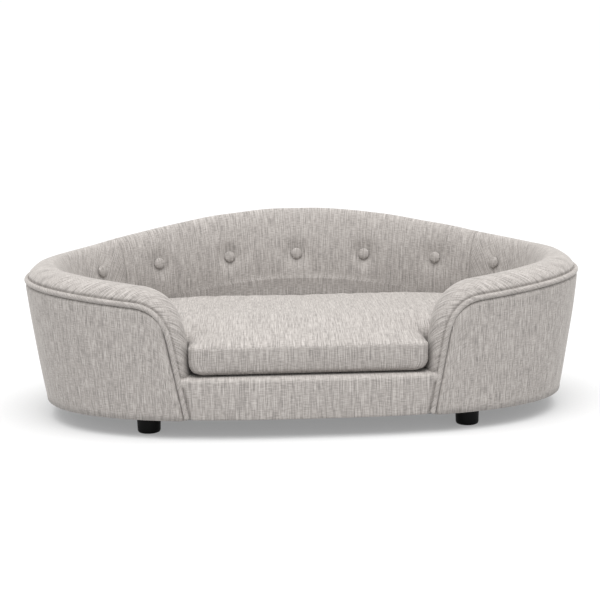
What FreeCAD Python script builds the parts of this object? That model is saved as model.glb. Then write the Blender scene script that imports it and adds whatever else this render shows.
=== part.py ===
"""Upholstered oval dog bed with a wrap-round back, two wings and a loose seat cushion.

Millimetres, +Z up, front towards -Y. The origin is on the floor under the middle of the whole bed.
The wall stands on an oval base and flares out towards its rim. A station runs round it, from -1 at
the left wing's end through 0 at the middle of the back to 1 at the right wing's end, and past 1 it
runs down the wing's slanted front edge. An inset is a distance inwards from the outside fabric.
"""
import FreeCAD, Part
import math
import os

import Sketcher

Vector = FreeCAD.Vector

os.makedirs("parts", exist_ok=True)
doc = FreeCAD.newDocument("DogBed")

DIMENSIONS = {
    # the oval at the foot of the wall and at the rim: half width, depths, and roundness exponents
    "FootHeight": 32, "BaseHalfWidth": 455, "BaseBackDepth": 277, "BaseFrontDepth": 307,
    "BaseBackShape": 2.6, "BaseFrontShape": 2.7, "RimHalfWidth": 485.5, "RimBackDepth": 306,
    "RimFrontDepth": 298, "RimBackShape": 2.0, "RimFrontShape": 2.95, "RimLevel": 250,
    "PlanShift": -5.4,
    # the camel-back rim line and the wings' front ends
    "BackHeight": 300, "SideHeight": 239, "WingHeight": 218, "BackCurve": 3.15, "WingCurve": 1.9,
    "WingBendWidth": 296, "WingBendRadius": 56, "WingFootWidth": 202, "SeamAngle": 62,
    # the layers of the wall, from the outside in, with the clearance between two layers
    "LayerGap": 0.8, "FabricThickness": 1.2, "WaddingThickness": 4, "PanelThickness": 3,
    "RibThickness": 28, "InsidePadThickness": 25.1, "WeltClearance": 5,
    "FrameDrop": 2, "PadDrop": 3,
    # the padded roll on the rim and the welt under its outer edge
    "RollStart": 4, "RollReach": 79.4, "RollHeight": 26.4, "RollEndHeight": 17, "RollEndLevel": 101,
    "TuckDepth": 4, "TuckInset": 3, "WeltRadius": 4.2, "WeltCordRadius": 2.6, "WeltStandOff": 0.85,
    "WeltEndLevel": 34,
    # boards, rails, ribs and battens
    "BoardGap": 1.2, "BoardThickness": 12, "DeckThickness": 9, "DeckLevel": 98.4, "DeckInset": 43.5,
    "RailThickness": 14, "RibWidth": 24, "FrontRailThickness": 15, "BattenThickness": 19,
    "BattenHeight": 20, "BearerThickness": 18, "BearerLength": 420, "BearerSpacing": 125,
    "BearerScrew": 168, "RailDrop": 2, "PadRest": 0.5, "ApronEdge": 4,
    "SeatLevel": 100, "LiningThickness": 1, "DustThickness": 0.6, "DustGap": 0.3,
    # the cushion
    "CushionBottom": 100.5, "CushionHeight": 60, "CushionHalfWidth": 393.5, "CushionBack": 204,
    "CushionFront": 216.5, "CushionBackShape": 2.18, "CushionFrontShape": 3.1,
    "TongueHalfWidth": 196.5, "TongueFront": 284.6, "TongueCorner": 9,
    # the zip on the back of the cushion
    "ZipRadius": 1285, "ZipHeight": 24, "ZipHalfAngle": 7.2, "ZipLevel": 130, "ZipThickness": 1.2,
    "ZipStandOff": 1.0, "ZipGap": 0.3, "SliderWidth": 8, "SliderHeight": 11, "SliderThickness": 2.8,
    "PullWidth": 6, "PullLength": 14, "PullThickness": 1.2,
    # buttons
    "ButtonRadius": 10, "ButtonHeight": 6.5, "ButtonRim": 2, "CordRadius": 1,
    # feet and fasteners
    "FootRadius": 20, "FootTaper": 1, "FootEdge": 4, "FootSide": 265, "FootFront": 229,
    "FootRear": 190, "FootBossRadius": 12, "FootRecessRadius": 9, "FootRecessDepth": 18,
    "BoltRadius": 3.9, "BoltHeadRadius": 7.5, "BoltHeadHeight": 5, "BoltTop": 50,
    "BoltHoleRadius": 4.1, "NutFlangeRadius": 11, "NutFlangeHeight": 1.5, "NutBarrelRadius": 4.9,
    "NutRise": 0.5,
    "NutHoleRadius": 5, "ScrewRadius": 1.9, "ScrewHeadRadius": 3.8, "ScrewHeadHeight": 2,
    "ScrewLength": 40, "StapleWidth": 10, "StapleWire": 0.6, "StapleLeg": 6, "DustHoleRadius": 13,
}

sheet = doc.addObject("Spreadsheet::Sheet", "Dims")
for row, (alias, value) in enumerate(DIMENSIONS.items(), start=1):
    sheet.set(f"A{row}", alias)
    sheet.set(f"B{row}", str(value))
    sheet.setAlias(f"B{row}", alias)
doc.recompute()
SIZE = {alias: float(sheet.get(alias)) for alias in DIMENSIONS}
subparts = []

# Insets of the wall's layers, each from its outer to its inner face
GAP = SIZE["LayerGap"]
COVER = (0.0, SIZE["FabricThickness"])
WADDING = (COVER[1] + GAP, COVER[1] + GAP + SIZE["WaddingThickness"])
OUTER_PANEL = (WADDING[1] + GAP, WADDING[1] + GAP + SIZE["PanelThickness"])
RIBS = (OUTER_PANEL[1] + GAP, OUTER_PANEL[1] + GAP + SIZE["RibThickness"])
INNER_PANEL = (RIBS[1] + GAP, RIBS[1] + GAP + SIZE["PanelThickness"])
INSIDE_PAD = (INNER_PANEL[1] + GAP, INNER_PANEL[1] + GAP + SIZE["InsidePadThickness"])
INSIDE_COVER = (INSIDE_PAD[1] + GAP, INSIDE_PAD[1] + GAP + SIZE["FabricThickness"])

# Levels of the boards and of what stands on them
BOARD_BOTTOM = SIZE["FootHeight"] + SIZE["BoardGap"]
BOARD_TOP = BOARD_BOTTOM + SIZE["BoardThickness"]
FRAME_BOTTOM = BOARD_TOP + GAP
DECK_BOTTOM = SIZE["DeckLevel"] - SIZE["DeckThickness"]
PAD_BOTTOM = SIZE["DeckLevel"] + SIZE["DustGap"]
LINING_BOTTOM = SIZE["SeatLevel"] - SIZE["DustGap"] - SIZE["LiningThickness"]

# Where the rim starts to bend down at a wing's end, as a share of a half wall's stations
BEND_STATION = 0.86
SIDE_ANGLE = math.pi / 2
RIM_STEPS = 16
BEND_STEPS = 7
# Steps along an arch of the roll, the apron, the front of a board and half the cushion's oval
ARCH_STEPS = 8
APRON_STEPS = 8
OUTLINE_STEPS = 8
CUSHION_STEPS = 24
# A small turn back along the rim, to read its slope, and how far the bend runs on past its corner
SLOPE_TURN = 0.05
BEND_RUN_OUT = 1.2
# Half the space left between two pieces that meet at a seam, as a share of half the wall
SEAM_ROOM = 0.0015
# Closeness to which the welt's faces are sewn together
SEW_TOLERANCE = 1e-4


# ---- the shape of the wall ----

def oval(level, front):
    """Half width, depth and roundness of the wall's outside at a level, in one half of the plan."""
    rise = (level - SIZE["FootHeight"]) / (SIZE["RimLevel"] - SIZE["FootHeight"])
    half = "Front" if front else "Back"
    width = SIZE["BaseHalfWidth"] + (SIZE["RimHalfWidth"] - SIZE["BaseHalfWidth"]) * rise
    depth = SIZE[f"Base{half}Depth"] + (SIZE[f"Rim{half}Depth"] - SIZE[f"Base{half}Depth"]) * rise
    shape = SIZE[f"Base{half}Shape"] + (SIZE[f"Rim{half}Shape"] - SIZE[f"Base{half}Shape"]) * rise
    return width, depth, shape


def oval_point(angle, width, depth, shape):
    """Point of an oval at an angle from the middle of the back."""
    across = abs(math.sin(angle)) / width
    along = abs(math.cos(angle)) / depth
    radius = (across ** shape + along ** shape) ** (-1 / shape)
    return radius * math.sin(angle), radius * math.cos(angle)


def outside_point(angle, level):
    """Point of the wall's outside at an angle and a level."""
    return oval_point(angle, *oval(level, math.cos(angle) < 0))


def front_depth(x, level):
    """Place of the bed's front face along Y, at a width and a level."""
    width, depth, shape = oval(level, True)
    return -depth * (1 - (abs(x) / width) ** shape) ** (1 / shape)


def inward(x, y, level):
    """Horizontal unit direction into the wall from a point of its outside."""
    width, depth, shape = oval(level, y < 0)
    across = -math.copysign((abs(x) / width) ** (shape - 1) / width, x)
    along = -math.copysign((abs(y) / depth) ** (shape - 1) / depth, y)
    return Vector(across, along, 0).normalize()


def rim_turn(angle):
    """How far round the rim an angle is: 0 at the back, a right angle at the side."""
    width, depth, shape = oval(SIZE["RimLevel"], math.cos(angle) < 0)
    x, y = oval_point(angle, width, depth, shape)
    turn = math.atan2((abs(x) / width) ** (shape / 2), (abs(y) / depth) ** (shape / 2))
    return math.pi - turn if y < 0 else turn


BEND_ANGLE = math.atan2(SIZE["WingBendWidth"], front_depth(SIZE["WingBendWidth"], SIZE["WingHeight"]))
BEND_TURN = rim_turn(BEND_ANGLE)


def rim_point(angle):
    """Point of the rim line between the back and the bend at a wing's end."""
    turn = rim_turn(angle)
    if turn <= SIDE_ANGLE:
        rise = SIZE["BackHeight"] - SIZE["SideHeight"]
        level = SIZE["SideHeight"] + rise * math.cos(turn) ** SIZE["BackCurve"]
    else:
        fall = (turn - SIDE_ANGLE) / (BEND_TURN - SIDE_ANGLE)
        drop = SIZE["SideHeight"] - SIZE["WingHeight"]
        level = SIZE["SideHeight"] - drop * fall ** SIZE["WingCurve"]
    x, y = outside_point(angle, level)
    return Vector(x, y, level)


def bend_corners():
    """The three guiding points, in front view, of the rim's curve down into the slanted edge."""
    start = rim_point(BEND_ANGLE)
    before = rim_point(BEND_ANGLE - SLOPE_TURN)
    slope = (start.z - before.z) / (before.x - start.x)
    radius = SIZE["WingBendRadius"]
    middle = Vector(start.x - radius, 0, start.z + slope * radius)
    foot = Vector(SIZE["WingFootWidth"], 0, SIZE["FootHeight"])
    end = middle + (foot - middle).normalize() * radius * BEND_RUN_OUT
    return Vector(start.x, 0, start.z), middle, end


BEND_START, BEND_MIDDLE, BEND_END = bend_corners()


def bend_point(share):
    """Point and outward direction of the bend in front view."""
    rest = 1 - share
    point = BEND_START * rest ** 2 + BEND_MIDDLE * (2 * share * rest) + BEND_END * share ** 2
    along = (BEND_MIDDLE - BEND_START) * rest + (BEND_END - BEND_MIDDLE) * share
    return point, Vector(along.z, 0, -along.x).normalize()


def on_front(x, level):
    """Point of the bed's front face."""
    return Vector(x, front_depth(x, level), level)


def mirrored(vector, station):
    """The vector on the station's own side of the bed."""
    return Vector(math.copysign(1, station) * vector.x, vector.y, vector.z)


def wall_station(station, drop=0.0):
    """Foot, rim point and inward direction of the wall, with the rim lowered by a drop."""
    share = (abs(station) - BEND_STATION) / (1 - BEND_STATION)
    if share <= 0:
        angle = BEND_ANGLE * abs(station) / BEND_STATION
        rim = rim_point(angle) - Vector(0, 0, drop)
        foot = Vector(*outside_point(angle, SIZE["FootHeight"]), SIZE["FootHeight"])
        into = inward(rim.x, rim.y, rim.z)
    else:
        point, outward = bend_point(share)
        rim = point - outward * drop
        rim = on_front(rim.x, rim.z)
        first_x = outside_point(BEND_ANGLE, SIZE["FootHeight"])[0]
        foot_x = first_x + (SIZE["WingFootWidth"] + drop - first_x) * share
        foot = on_front(foot_x, SIZE["FootHeight"])
        into = (inward(rim.x, rim.y, rim.z) * (1 - share) + Vector(0, share, 0)).normalize()
    return tuple(mirrored(vector, station) for vector in (foot, rim, into))


def wall_point(place, inset, level=None):
    """Point of a wall station at an inset and a level, or at its rim."""
    foot, rim, into = place
    rise = 1.0 if level is None else (level - foot.z) / (rim.z - foot.z)
    outside = foot + (rim - foot) * rise
    slant = into.dot(inward(outside.x, outside.y, outside.z))
    return outside + into * (inset / slant)


def rim_station(station):
    """Rim point, inward direction and outward-from-rim direction, past 1 down the slanted edge."""
    foot, rim, into = wall_station(math.copysign(min(abs(station), 1.0), station))
    share = (abs(station) - BEND_STATION) / (1 - BEND_STATION)
    if share <= 0:
        return rim, into, Vector(0, 0, 1)
    slanted = mirrored(bend_point(min(share, 1.0))[1], station)
    away = (Vector(0, 0, 1) * max(0.0, 1 - 2 * share) + slanted).normalize()
    if share > 1:
        level = rim.z + (foot.z - rim.z) * (abs(station) - 1)
        x = rim.x + (foot.x - rim.x) * (abs(station) - 1)
        rim = on_front(x, level)
    return rim, into, away


def slanted_station(level):
    """Station of a level on the slanted front edge."""
    foot, rim, _ = wall_station(1.0)
    return 1 + (rim.z - level) / (rim.z - foot.z)


def stations(first, last):
    """Stations from first to last, closer together where the rim bends at a wing's end."""
    bend_step = (1 - BEND_STATION) / BEND_STEPS
    half = [BEND_STATION * step / RIM_STEPS for step in range(RIM_STEPS)]
    half += [BEND_STATION + bend_step * step for step in range(BEND_STEPS)]
    half += [1 + step / RIM_STEPS for step in range(RIM_STEPS + 1)]
    low, high = sorted((first, last))
    room = bend_step / 3
    grid = sorted({-station for station in half} | set(half))
    between = [station for station in grid if low + room < station < high - room]
    ordered = [low, *between, high]
    return ordered if first < last else ordered[::-1]


# ---- document helpers ----

def keep(piece, label):
    """Name a sub-part and put it in the bed's own frame."""
    piece.Label = label
    shift = FreeCAD.Placement(Vector(0, SIZE["PlanShift"], 0), FreeCAD.Rotation())
    piece.Placement = shift * piece.Placement
    subparts.append(piece)
    return piece


def shaped(label, shape):
    """Sub-part whose curved shape follows the wall."""
    piece = doc.addObject("Part::Feature", label)
    piece.Shape = shape
    return keep(piece, label)


def section(runs):
    """Closed wire through runs of points: two points make a line, more make a smooth curve."""
    edges = []
    for run in runs:
        if len(run) == 2:
            edges.append(Part.makeLine(run[0], run[1]))
            continue
        curve = Part.BSplineCurve()
        curve.interpolate(run)
        edges.append(curve.toShape())
    return Part.Wire(edges)


def polygon(points):
    """Closed wire of straight edges."""
    return section([[point, points[(number + 1) % len(points)]] for number, point in enumerate(points)])


def layer_shape(layer, first, last, bottom, drop, top=0.0):
    """Curved sheet or bar of the wall from a level up to a distance below the lowered rim."""
    wires = []
    for station in stations(first, last):
        place = wall_station(station, drop)
        crown = place[1].z - top
        wires.append(polygon([
            wall_point(place, layer[0], bottom), wall_point(place, layer[0], crown),
            wall_point(place, layer[1], crown), wall_point(place, layer[1], bottom)]))
    return Part.makeLoft(wires, True, False)


def wall_layer(label, layer, first, last, bottom, drop, top=0.0):
    """Sub-part that is one layer of the wall."""
    return shaped(label, layer_shape(layer, first, last, bottom, drop, top))


def closed_outline(points):
    """Face inside a smooth closed curve."""
    curve = Part.BSplineCurve()
    curve.interpolate(points, PeriodicFlag=True)
    return Part.Face(Part.Wire([curve.toShape()]))


def plan_outline(name, level, inset):
    """Face inside the bed's whole plan at a level, moved inwards from wall and apron alike."""
    points = [wall_point(wall_station(station), inset, level) for station in stations(-1, 1)]
    for step in range(1, OUTLINE_STEPS):
        points.append(rail_point(1 - 2 * step / OUTLINE_STEPS, inset, level, 0))
    outline = doc.addObject("Part::Feature", name)
    outline.Shape = closed_outline(points)
    return outline


def plate(name, outline, thickness):
    """Board or cloth raised from an outline by a thickness bound to the sheet."""
    board = doc.addObject("Part::Extrusion", name)
    board.Base = outline
    board.DirMode = "Custom"
    board.Dir = Vector(0, 0, 1)
    board.Solid = True
    board.setExpression("LengthFwd", thickness)
    return board


def origin_plane(body, role):
    """One of a body's own base planes."""
    return next(feature for feature in body.Origin.OriginFeatures if feature.Role == role)


def lathe(name, corners):
    """Body turned about Z from a closed outline of radius and height expressions."""
    body = doc.addObject("PartDesign::Body", name)
    sketch = body.newObject("Sketcher::SketchObject", f"{name}_outline")
    sketch.AttachmentSupport = (origin_plane(body, "XZ_Plane"), [""])
    sketch.MapMode = "FlatFace"
    spots = [Vector(float(body.evalExpression(radius)), float(body.evalExpression(height)), 0)
             for radius, height in corners]
    for number, spot in enumerate(spots):
        sketch.addGeometry(Part.LineSegment(spot, spots[(number + 1) % len(spots)]), False)
    for number, (corner, spot) in enumerate(zip(corners, spots)):
        sketch.addConstraint(Sketcher.Constraint("Coincident", number, 2, (number + 1) % len(spots), 1))
        for kind, axis, text, value in (("DistanceX", -2, corner[0], spot.x),
                                        ("DistanceY", -1, corner[1], spot.y)):
            if value == 0:
                sketch.addConstraint(Sketcher.Constraint("PointOnObject", number, 1, axis))
                continue
            index = sketch.addConstraint(Sketcher.Constraint(kind, -1, 1, number, 1, value))
            sketch.setExpression(f"Constraints[{index}]", text)
    turned = body.newObject("PartDesign::Revolution", f"{name}_turned")
    turned.Profile = sketch
    turned.ReferenceAxis = (sketch, ["V_Axis"])
    turned.Angle = 360
    body.Tip = turned
    doc.recompute()
    return body


def copies(label, body, spots):
    """Identical small pieces in one node, each a copy of a body at a spot."""
    shapes = []
    for spot in spots:
        shape = body.Shape.copy()
        shape.Placement = FreeCAD.Placement(spot, FreeCAD.Rotation())
        shapes.append(shape)
    return shaped(label, Part.makeCompound(shapes))


def drilled(name, board, radius, spots):
    """Board with round holes through it, whose radius is bound to the sheet."""
    holes = []
    for number, spot in enumerate(spots):
        hole = doc.addObject("Part::Cylinder", f"{name}_hole_{number}")
        hole.setExpression("Radius", radius)
        hole.setExpression("Height", "Dims.BoltTop")
        hole.Placement.Base = spot
        holes.append(hole)
    tools = doc.addObject("Part::MultiFuse", f"{name}_holes")
    tools.Shapes = holes
    cut = doc.addObject("Part::Cut", f"{name}_drilled")
    cut.Base = board
    cut.Tool = tools
    return cut


# ---- feet and their bolts ----

FEET = {
    "foot_front_left": Vector(-SIZE["FootSide"], -SIZE["FootFront"], 0),
    "foot_front_right": Vector(SIZE["FootSide"], -SIZE["FootFront"], 0),
    "foot_rear_left": Vector(-SIZE["FootSide"], SIZE["FootRear"], 0),
    "foot_rear_right": Vector(SIZE["FootSide"], SIZE["FootRear"], 0),
}


def make_feet():
    """Moulded feet: a slightly tapered cup with a bolt recess below and a boss on top."""
    low = "Dims.FootRadius - Dims.FootTaper"
    shoulder = "Dims.FootHeight + Dims.BoardGap"
    for label, spot in FEET.items():
        foot = lathe(label, [
            ("Dims.FootRecessRadius", "0"), (f"{low} - Dims.FootEdge", "0"),
            (f"{low} - 0.3 * Dims.FootEdge", "0.3 * Dims.FootEdge"), (low, "Dims.FootEdge"),
            ("Dims.FootRadius", "Dims.FootHeight"), ("Dims.FootBossRadius", "Dims.FootHeight"),
            ("Dims.FootBossRadius", shoulder), ("Dims.BoltHoleRadius", shoulder),
            ("Dims.BoltHoleRadius", "Dims.FootRecessDepth"),
            ("Dims.FootRecessRadius", "Dims.FootRecessDepth")])
        foot.Placement.Base = spot
        keep(foot, label)


def make_foot_fasteners():
    """One bolt and one tee nut for each foot."""
    head = "Dims.FootRecessDepth - Dims.BoltHeadHeight"
    bolt = lathe("bolt_pattern", [
        ("0", head), ("Dims.BoltHeadRadius", head), ("Dims.BoltHeadRadius", "Dims.FootRecessDepth"),
        ("Dims.BoltRadius", "Dims.FootRecessDepth"), ("Dims.BoltRadius", "Dims.BoltTop"),
        ("0", "Dims.BoltTop")])
    copies("foot_bolts", bolt, FEET.values())
    top = "Dims.FootHeight + Dims.BoardGap + Dims.BoardThickness"
    flange = f"{top} + Dims.NutFlangeHeight"
    low = "Dims.FootHeight + Dims.BoardGap + Dims.NutRise"
    nut = lathe("nut_pattern", [
        ("Dims.BoltHoleRadius", low), ("Dims.NutBarrelRadius", low), ("Dims.NutBarrelRadius", top),
        ("Dims.NutFlangeRadius", top), ("Dims.NutFlangeRadius", flange),
        ("Dims.BoltHoleRadius", flange)])
    copies("tee_nuts", nut, FEET.values())


# ---- boards, battens and front rail ----

def make_boards():
    """Base board, seat deck, the lining on it and the dust cover below."""
    base = plate("base_plate", plan_outline("base_outline", BOARD_BOTTOM, RIBS[0]), "Dims.BoardThickness")
    keep(drilled("base_board", base, "Dims.NutHoleRadius", FEET.values()), "base_board")
    deck = plate("seat_deck", plan_outline("deck_outline", DECK_BOTTOM, SIZE["DeckInset"]),
                 "Dims.DeckThickness")
    keep(deck, "seat_deck")
    cloth = plan_outline("lining_outline", LINING_BOTTOM, INSIDE_COVER[1] + 2 * GAP)
    lining = plate("deck_cover", cloth, "Dims.LiningThickness")
    keep(lining, "deck_cover")
    cloth = plan_outline("dust_outline", SIZE["FootHeight"] + SIZE["DustGap"], WADDING[1])
    dust = plate("dust_plate", cloth, "Dims.DustThickness")
    keep(drilled("dust_cover", dust, "Dims.DustHoleRadius", FEET.values()), "dust_cover")


def make_bearers():
    """Battens on edge between the base board and the deck."""
    for step, label in enumerate(BEARERS):
        bearer = doc.addObject("Part::Box", label)
        bearer.setExpression("Length", "Dims.BearerLength")
        bearer.setExpression("Width", "Dims.BearerThickness")
        bearer.Height = DECK_BOTTOM - BOARD_TOP
        middle = (step - 1) * SIZE["BearerSpacing"] - SIZE["BearerThickness"] / 2
        bearer.Placement.Base = Vector(-SIZE["BearerLength"] / 2, middle, BOARD_TOP)
        keep(bearer, label)


def rail_point(share, inset, level, side_gap):
    """Point of the apron between the wings; share runs from -1 at the left to 1 at the right."""
    foot, rim, _ = wall_station(1.0)
    edge = foot.x + (rim.x - foot.x) * (level - foot.z) / (rim.z - foot.z) - side_gap
    front = on_front(share * edge, level)
    return front + Vector(0, inset, 0)


def apron_piece(label, corners, side_gap):
    """Piece of the apron with one section of inset and level corners all along."""
    wires = []
    for step in range(APRON_STEPS + 1):
        share = 2 * step / APRON_STEPS - 1
        wires.append(polygon([rail_point(share, inset, level, side_gap) for inset, level in corners]))
    return shaped(label, Part.makeLoft(wires, True, False))


def make_apron():
    """Curved front rail, the batten behind it, its foam and its fabric."""
    deep = WADDING[1] + GAP
    back = deep + SIZE["FrontRailThickness"]
    top = SIZE["SeatLevel"]
    side = SIZE["WeltClearance"]
    rail_top = PAD_BOTTOM - SIZE["RailDrop"]
    rail = [(deep, FRAME_BOTTOM), (deep, rail_top), (back, rail_top), (back, FRAME_BOTTOM)]
    apron_piece("front_rail", rail, side / 2)
    batten_front = back + GAP
    batten_back = batten_front + SIZE["BattenThickness"]
    low = rail_top - SIZE["BattenHeight"]
    batten = [(batten_front, low), (batten_front, rail_top), (batten_back, rail_top), (batten_back, low)]
    apron_piece("front_batten", batten, side + RIBS[1])
    fabric = SIZE["FabricThickness"]
    edge = SIZE["ApronEdge"]
    under = top - fabric - GAP
    rest = rail_top + SIZE["PadRest"]
    pad = [(WADDING[0], BOARD_BOTTOM), (WADDING[0], under - edge), (WADDING[0] + edge, under),
           (batten_back, under), (batten_back, rest), (deep - GAP, rest), (deep - GAP, BOARD_BOTTOM)]
    apron_piece("front_rail_pad", pad, side)
    cover = [(0, BOARD_BOTTOM), (0, top - edge), (edge, top), (batten_back, top),
             (batten_back, top - fabric), (edge + fabric / 2, top - fabric),
             (fabric, top - edge - fabric / 2), (fabric, BOARD_BOTTOM)]
    apron_piece("front_rail_cover", cover, side)


# ---- frame of the wall ----

SEAM_STATION = math.radians(SIZE["SeamAngle"]) / BEND_ANGLE * BEND_STATION
RIB_STATIONS = {
    "rib_back_centre": 0.0, "rib_back_right": 0.2, "rib_back_left": -0.2,
    "rib_corner_right": 0.44, "rib_corner_left": -0.44, "rib_side_right": 0.7, "rib_side_left": -0.7,
}
POST_STATION = 0.93
BEARERS = ("deck_bearer_front", "deck_bearer_middle", "deck_bearer_rear")


def make_wall_frame():
    """Ribs, slanted wing posts, the curved top rails and the two bent panels."""
    rail = SIZE["RailThickness"]
    for label, station in RIB_STATIONS.items():
        _, rim, _ = wall_station(station)
        half = SIZE["RibWidth"] / 2 / (math.hypot(rim.x, rim.y) * BEND_ANGLE / BEND_STATION)
        wall_layer(label, RIBS, station - half, station + half, FRAME_BOTTOM, SIZE["PadDrop"],
                   rail + GAP)
    ends = {"top_rail_back": (-SEAM_STATION + SEAM_ROOM, SEAM_STATION - SEAM_ROOM),
            "top_rail_right": (SEAM_STATION + SEAM_ROOM, POST_STATION - SEAM_ROOM),
            "top_rail_left": (-SEAM_STATION - SEAM_ROOM, SEAM_ROOM - POST_STATION)}
    for label, (first, last) in ends.items():
        shape_rail(label, first, last, rail)
    for side, label in ((1, "wing_post_right"), (-1, "wing_post_left")):
        wall_layer(label, RIBS, side * POST_STATION, side, FRAME_BOTTOM, SIZE["PadDrop"])
    wall_layer("outer_panel", OUTER_PANEL, -1, 1, BOARD_BOTTOM, SIZE["FrameDrop"])
    wall_layer("inner_panel", INNER_PANEL, -1, 1, BOARD_TOP + SIZE["NutFlangeHeight"] + GAP,
               SIZE["FrameDrop"])


def shape_rail(label, first, last, depth):
    """Curved rail under the rim, of an even depth."""
    wires = []
    for station in stations(first, last):
        place = wall_station(station, SIZE["PadDrop"])
        low = place[1].z - depth
        wires.append(polygon([
            wall_point(place, RIBS[0], low), wall_point(place, RIBS[0]),
            wall_point(place, RIBS[1]), wall_point(place, RIBS[1], low)]))
    return shaped(label, Part.makeLoft(wires, True, False))


# ---- foam, covers and welt ----

def make_outside():
    """Wadding and outside fabric, which stop short of the welt."""
    drop = SIZE["WeltClearance"]
    wall_layer("outside_wadding", WADDING, -1, 1, BOARD_BOTTOM, drop)
    wall_layer("outside_cover", COVER, -1, 1, SIZE["FootHeight"], drop)


def roll_height(station):
    """Height of the roll, which gets flatter down the wing's end."""
    end = slanted_station(SIZE["RollEndLevel"])
    share = max(0.0, (abs(station) - BEND_STATION) / (end - BEND_STATION))
    return SIZE["RollHeight"] + (SIZE["RollEndHeight"] - SIZE["RollHeight"]) * share


def roll_arch(frame, start, reach, height, lift=0.0):
    """Half an ellipse over the rim, from the outer edge to the inner one."""
    rim, into, away = frame
    middle = (start + reach) / 2
    half = (reach - start) / 2
    arch = []
    for step in range(ARCH_STEPS + 1):
        turn = math.pi * step / ARCH_STEPS
        across = middle - half * math.cos(turn)
        arch.append(rim + into * across + away * (lift + height * math.sin(turn)))
    return arch


def roll_pad(label, first, last):
    """Foam roll on the rim."""
    fabric = SIZE["FabricThickness"] + 2 * GAP
    wires = []
    for station in stations(first, last):
        frame = rim_station(station)
        arch = roll_arch(frame, SIZE["RollStart"] + fabric, SIZE["RollReach"] - fabric,
                         roll_height(station) - fabric, GAP / 2)
        wires.append(section([arch, [arch[-1], arch[0]]]))
    shaped(label, Part.makeLoft(wires, True, False))


def inside_cover(label, first, last):
    """Fabric in two plain solids: the part over the roll, tucked in below it, and the inside wall."""
    fabric = SIZE["FabricThickness"]
    wires = []
    for station in stations(first, last):
        frame = rim_station(station)
        rim, into, away = frame
        height = roll_height(station)
        outer = roll_arch(frame, SIZE["RollStart"], SIZE["RollReach"], height)
        inner = roll_arch(frame, SIZE["RollStart"] + fabric, SIZE["RollReach"] - fabric, height - fabric)
        edge = rim + into * (SIZE["RollReach"] - SIZE["TuckInset"]) - away * SIZE["TuckDepth"]
        hem = edge - into * fabric
        wires.append(section([outer, [outer[-1], edge], [edge, hem], [hem, inner[-1]],
                              inner[::-1], [inner[0], outer[0]]]))
    over_roll = Part.makeLoft(wires, True, False)
    end = math.copysign(min(abs(last), 1.0), last)
    down_wall = layer_shape(INSIDE_COVER, first, end, SIZE["SeatLevel"], SIZE["PadDrop"])
    shaped(label, Part.makeCompound([over_roll, down_wall]))


def make_inside():
    """Inside foam, roll foam and inside fabric, each in a back and two arm pieces."""
    near = SEAM_STATION - SEAM_ROOM
    far = SEAM_STATION + SEAM_ROOM
    end = slanted_station(SIZE["RollEndLevel"])
    wall_layer("back_pad", INSIDE_PAD, -near, near, PAD_BOTTOM, SIZE["PadDrop"])
    roll_pad("roll_pad_back", -near, near)
    inside_cover("inside_back_cover", -near, near)
    for side, name in ((-1, "left"), (1, "right")):
        wall_layer(f"arm_pad_{name}", INSIDE_PAD, side * far, side, PAD_BOTTOM, SIZE["PadDrop"])
        roll_pad(f"roll_pad_{name}", side * far, side * end)
        inside_cover(f"inside_arm_cover_{name}", side * far, side * end)


def round_section(frame, radius):
    """Circle across the rim line, just proud of the outside fabric."""
    rim, into, away = frame
    centre = rim - into * SIZE["WeltStandOff"]
    inner, outer = centre + into * radius, centre - into * radius
    upper, lower = centre + away * radius, centre - away * radius
    return Part.Wire([Part.Arc(outer, upper, inner).toShape(), Part.Arc(inner, lower, outer).toShape()])


def make_welt():
    """Piping all along the rim and down the wings' front edges: a fabric sleeve on a cord."""
    end = slanted_station(SIZE["WeltEndLevel"])
    frames = [rim_station(station) for station in stations(-end, end)]
    outer = [round_section(frame, SIZE["WeltRadius"]) for frame in frames]
    inner = [round_section(frame, SIZE["WeltCordRadius"] + GAP / 2) for frame in frames]
    faces = Part.makeLoft(outer, False, False).Faces + Part.makeLoft(inner, False, False).Faces
    for number in (0, -1):
        faces.append(Part.Face([outer[number], inner[number]]))
    skin = Part.makeShell(faces)
    skin.sewShape()
    sleeve = Part.makeSolid(skin)
    sleeve.fix(SEW_TOLERANCE, SEW_TOLERANCE, SEW_TOLERANCE)
    shaped("welt_sleeve", sleeve)
    cord = [round_section(frame, SIZE["WeltCordRadius"]) for frame in frames]
    shaped("welt_cord", Part.makeLoft(cord, True, False))


# ---- buttons ----

BUTTON_ANGLES = (-70, -51, -27, 0, 27, 51, 70)
BUTTON_LEVELS = (229, 233, 238, 240, 238, 233, 229)


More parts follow.
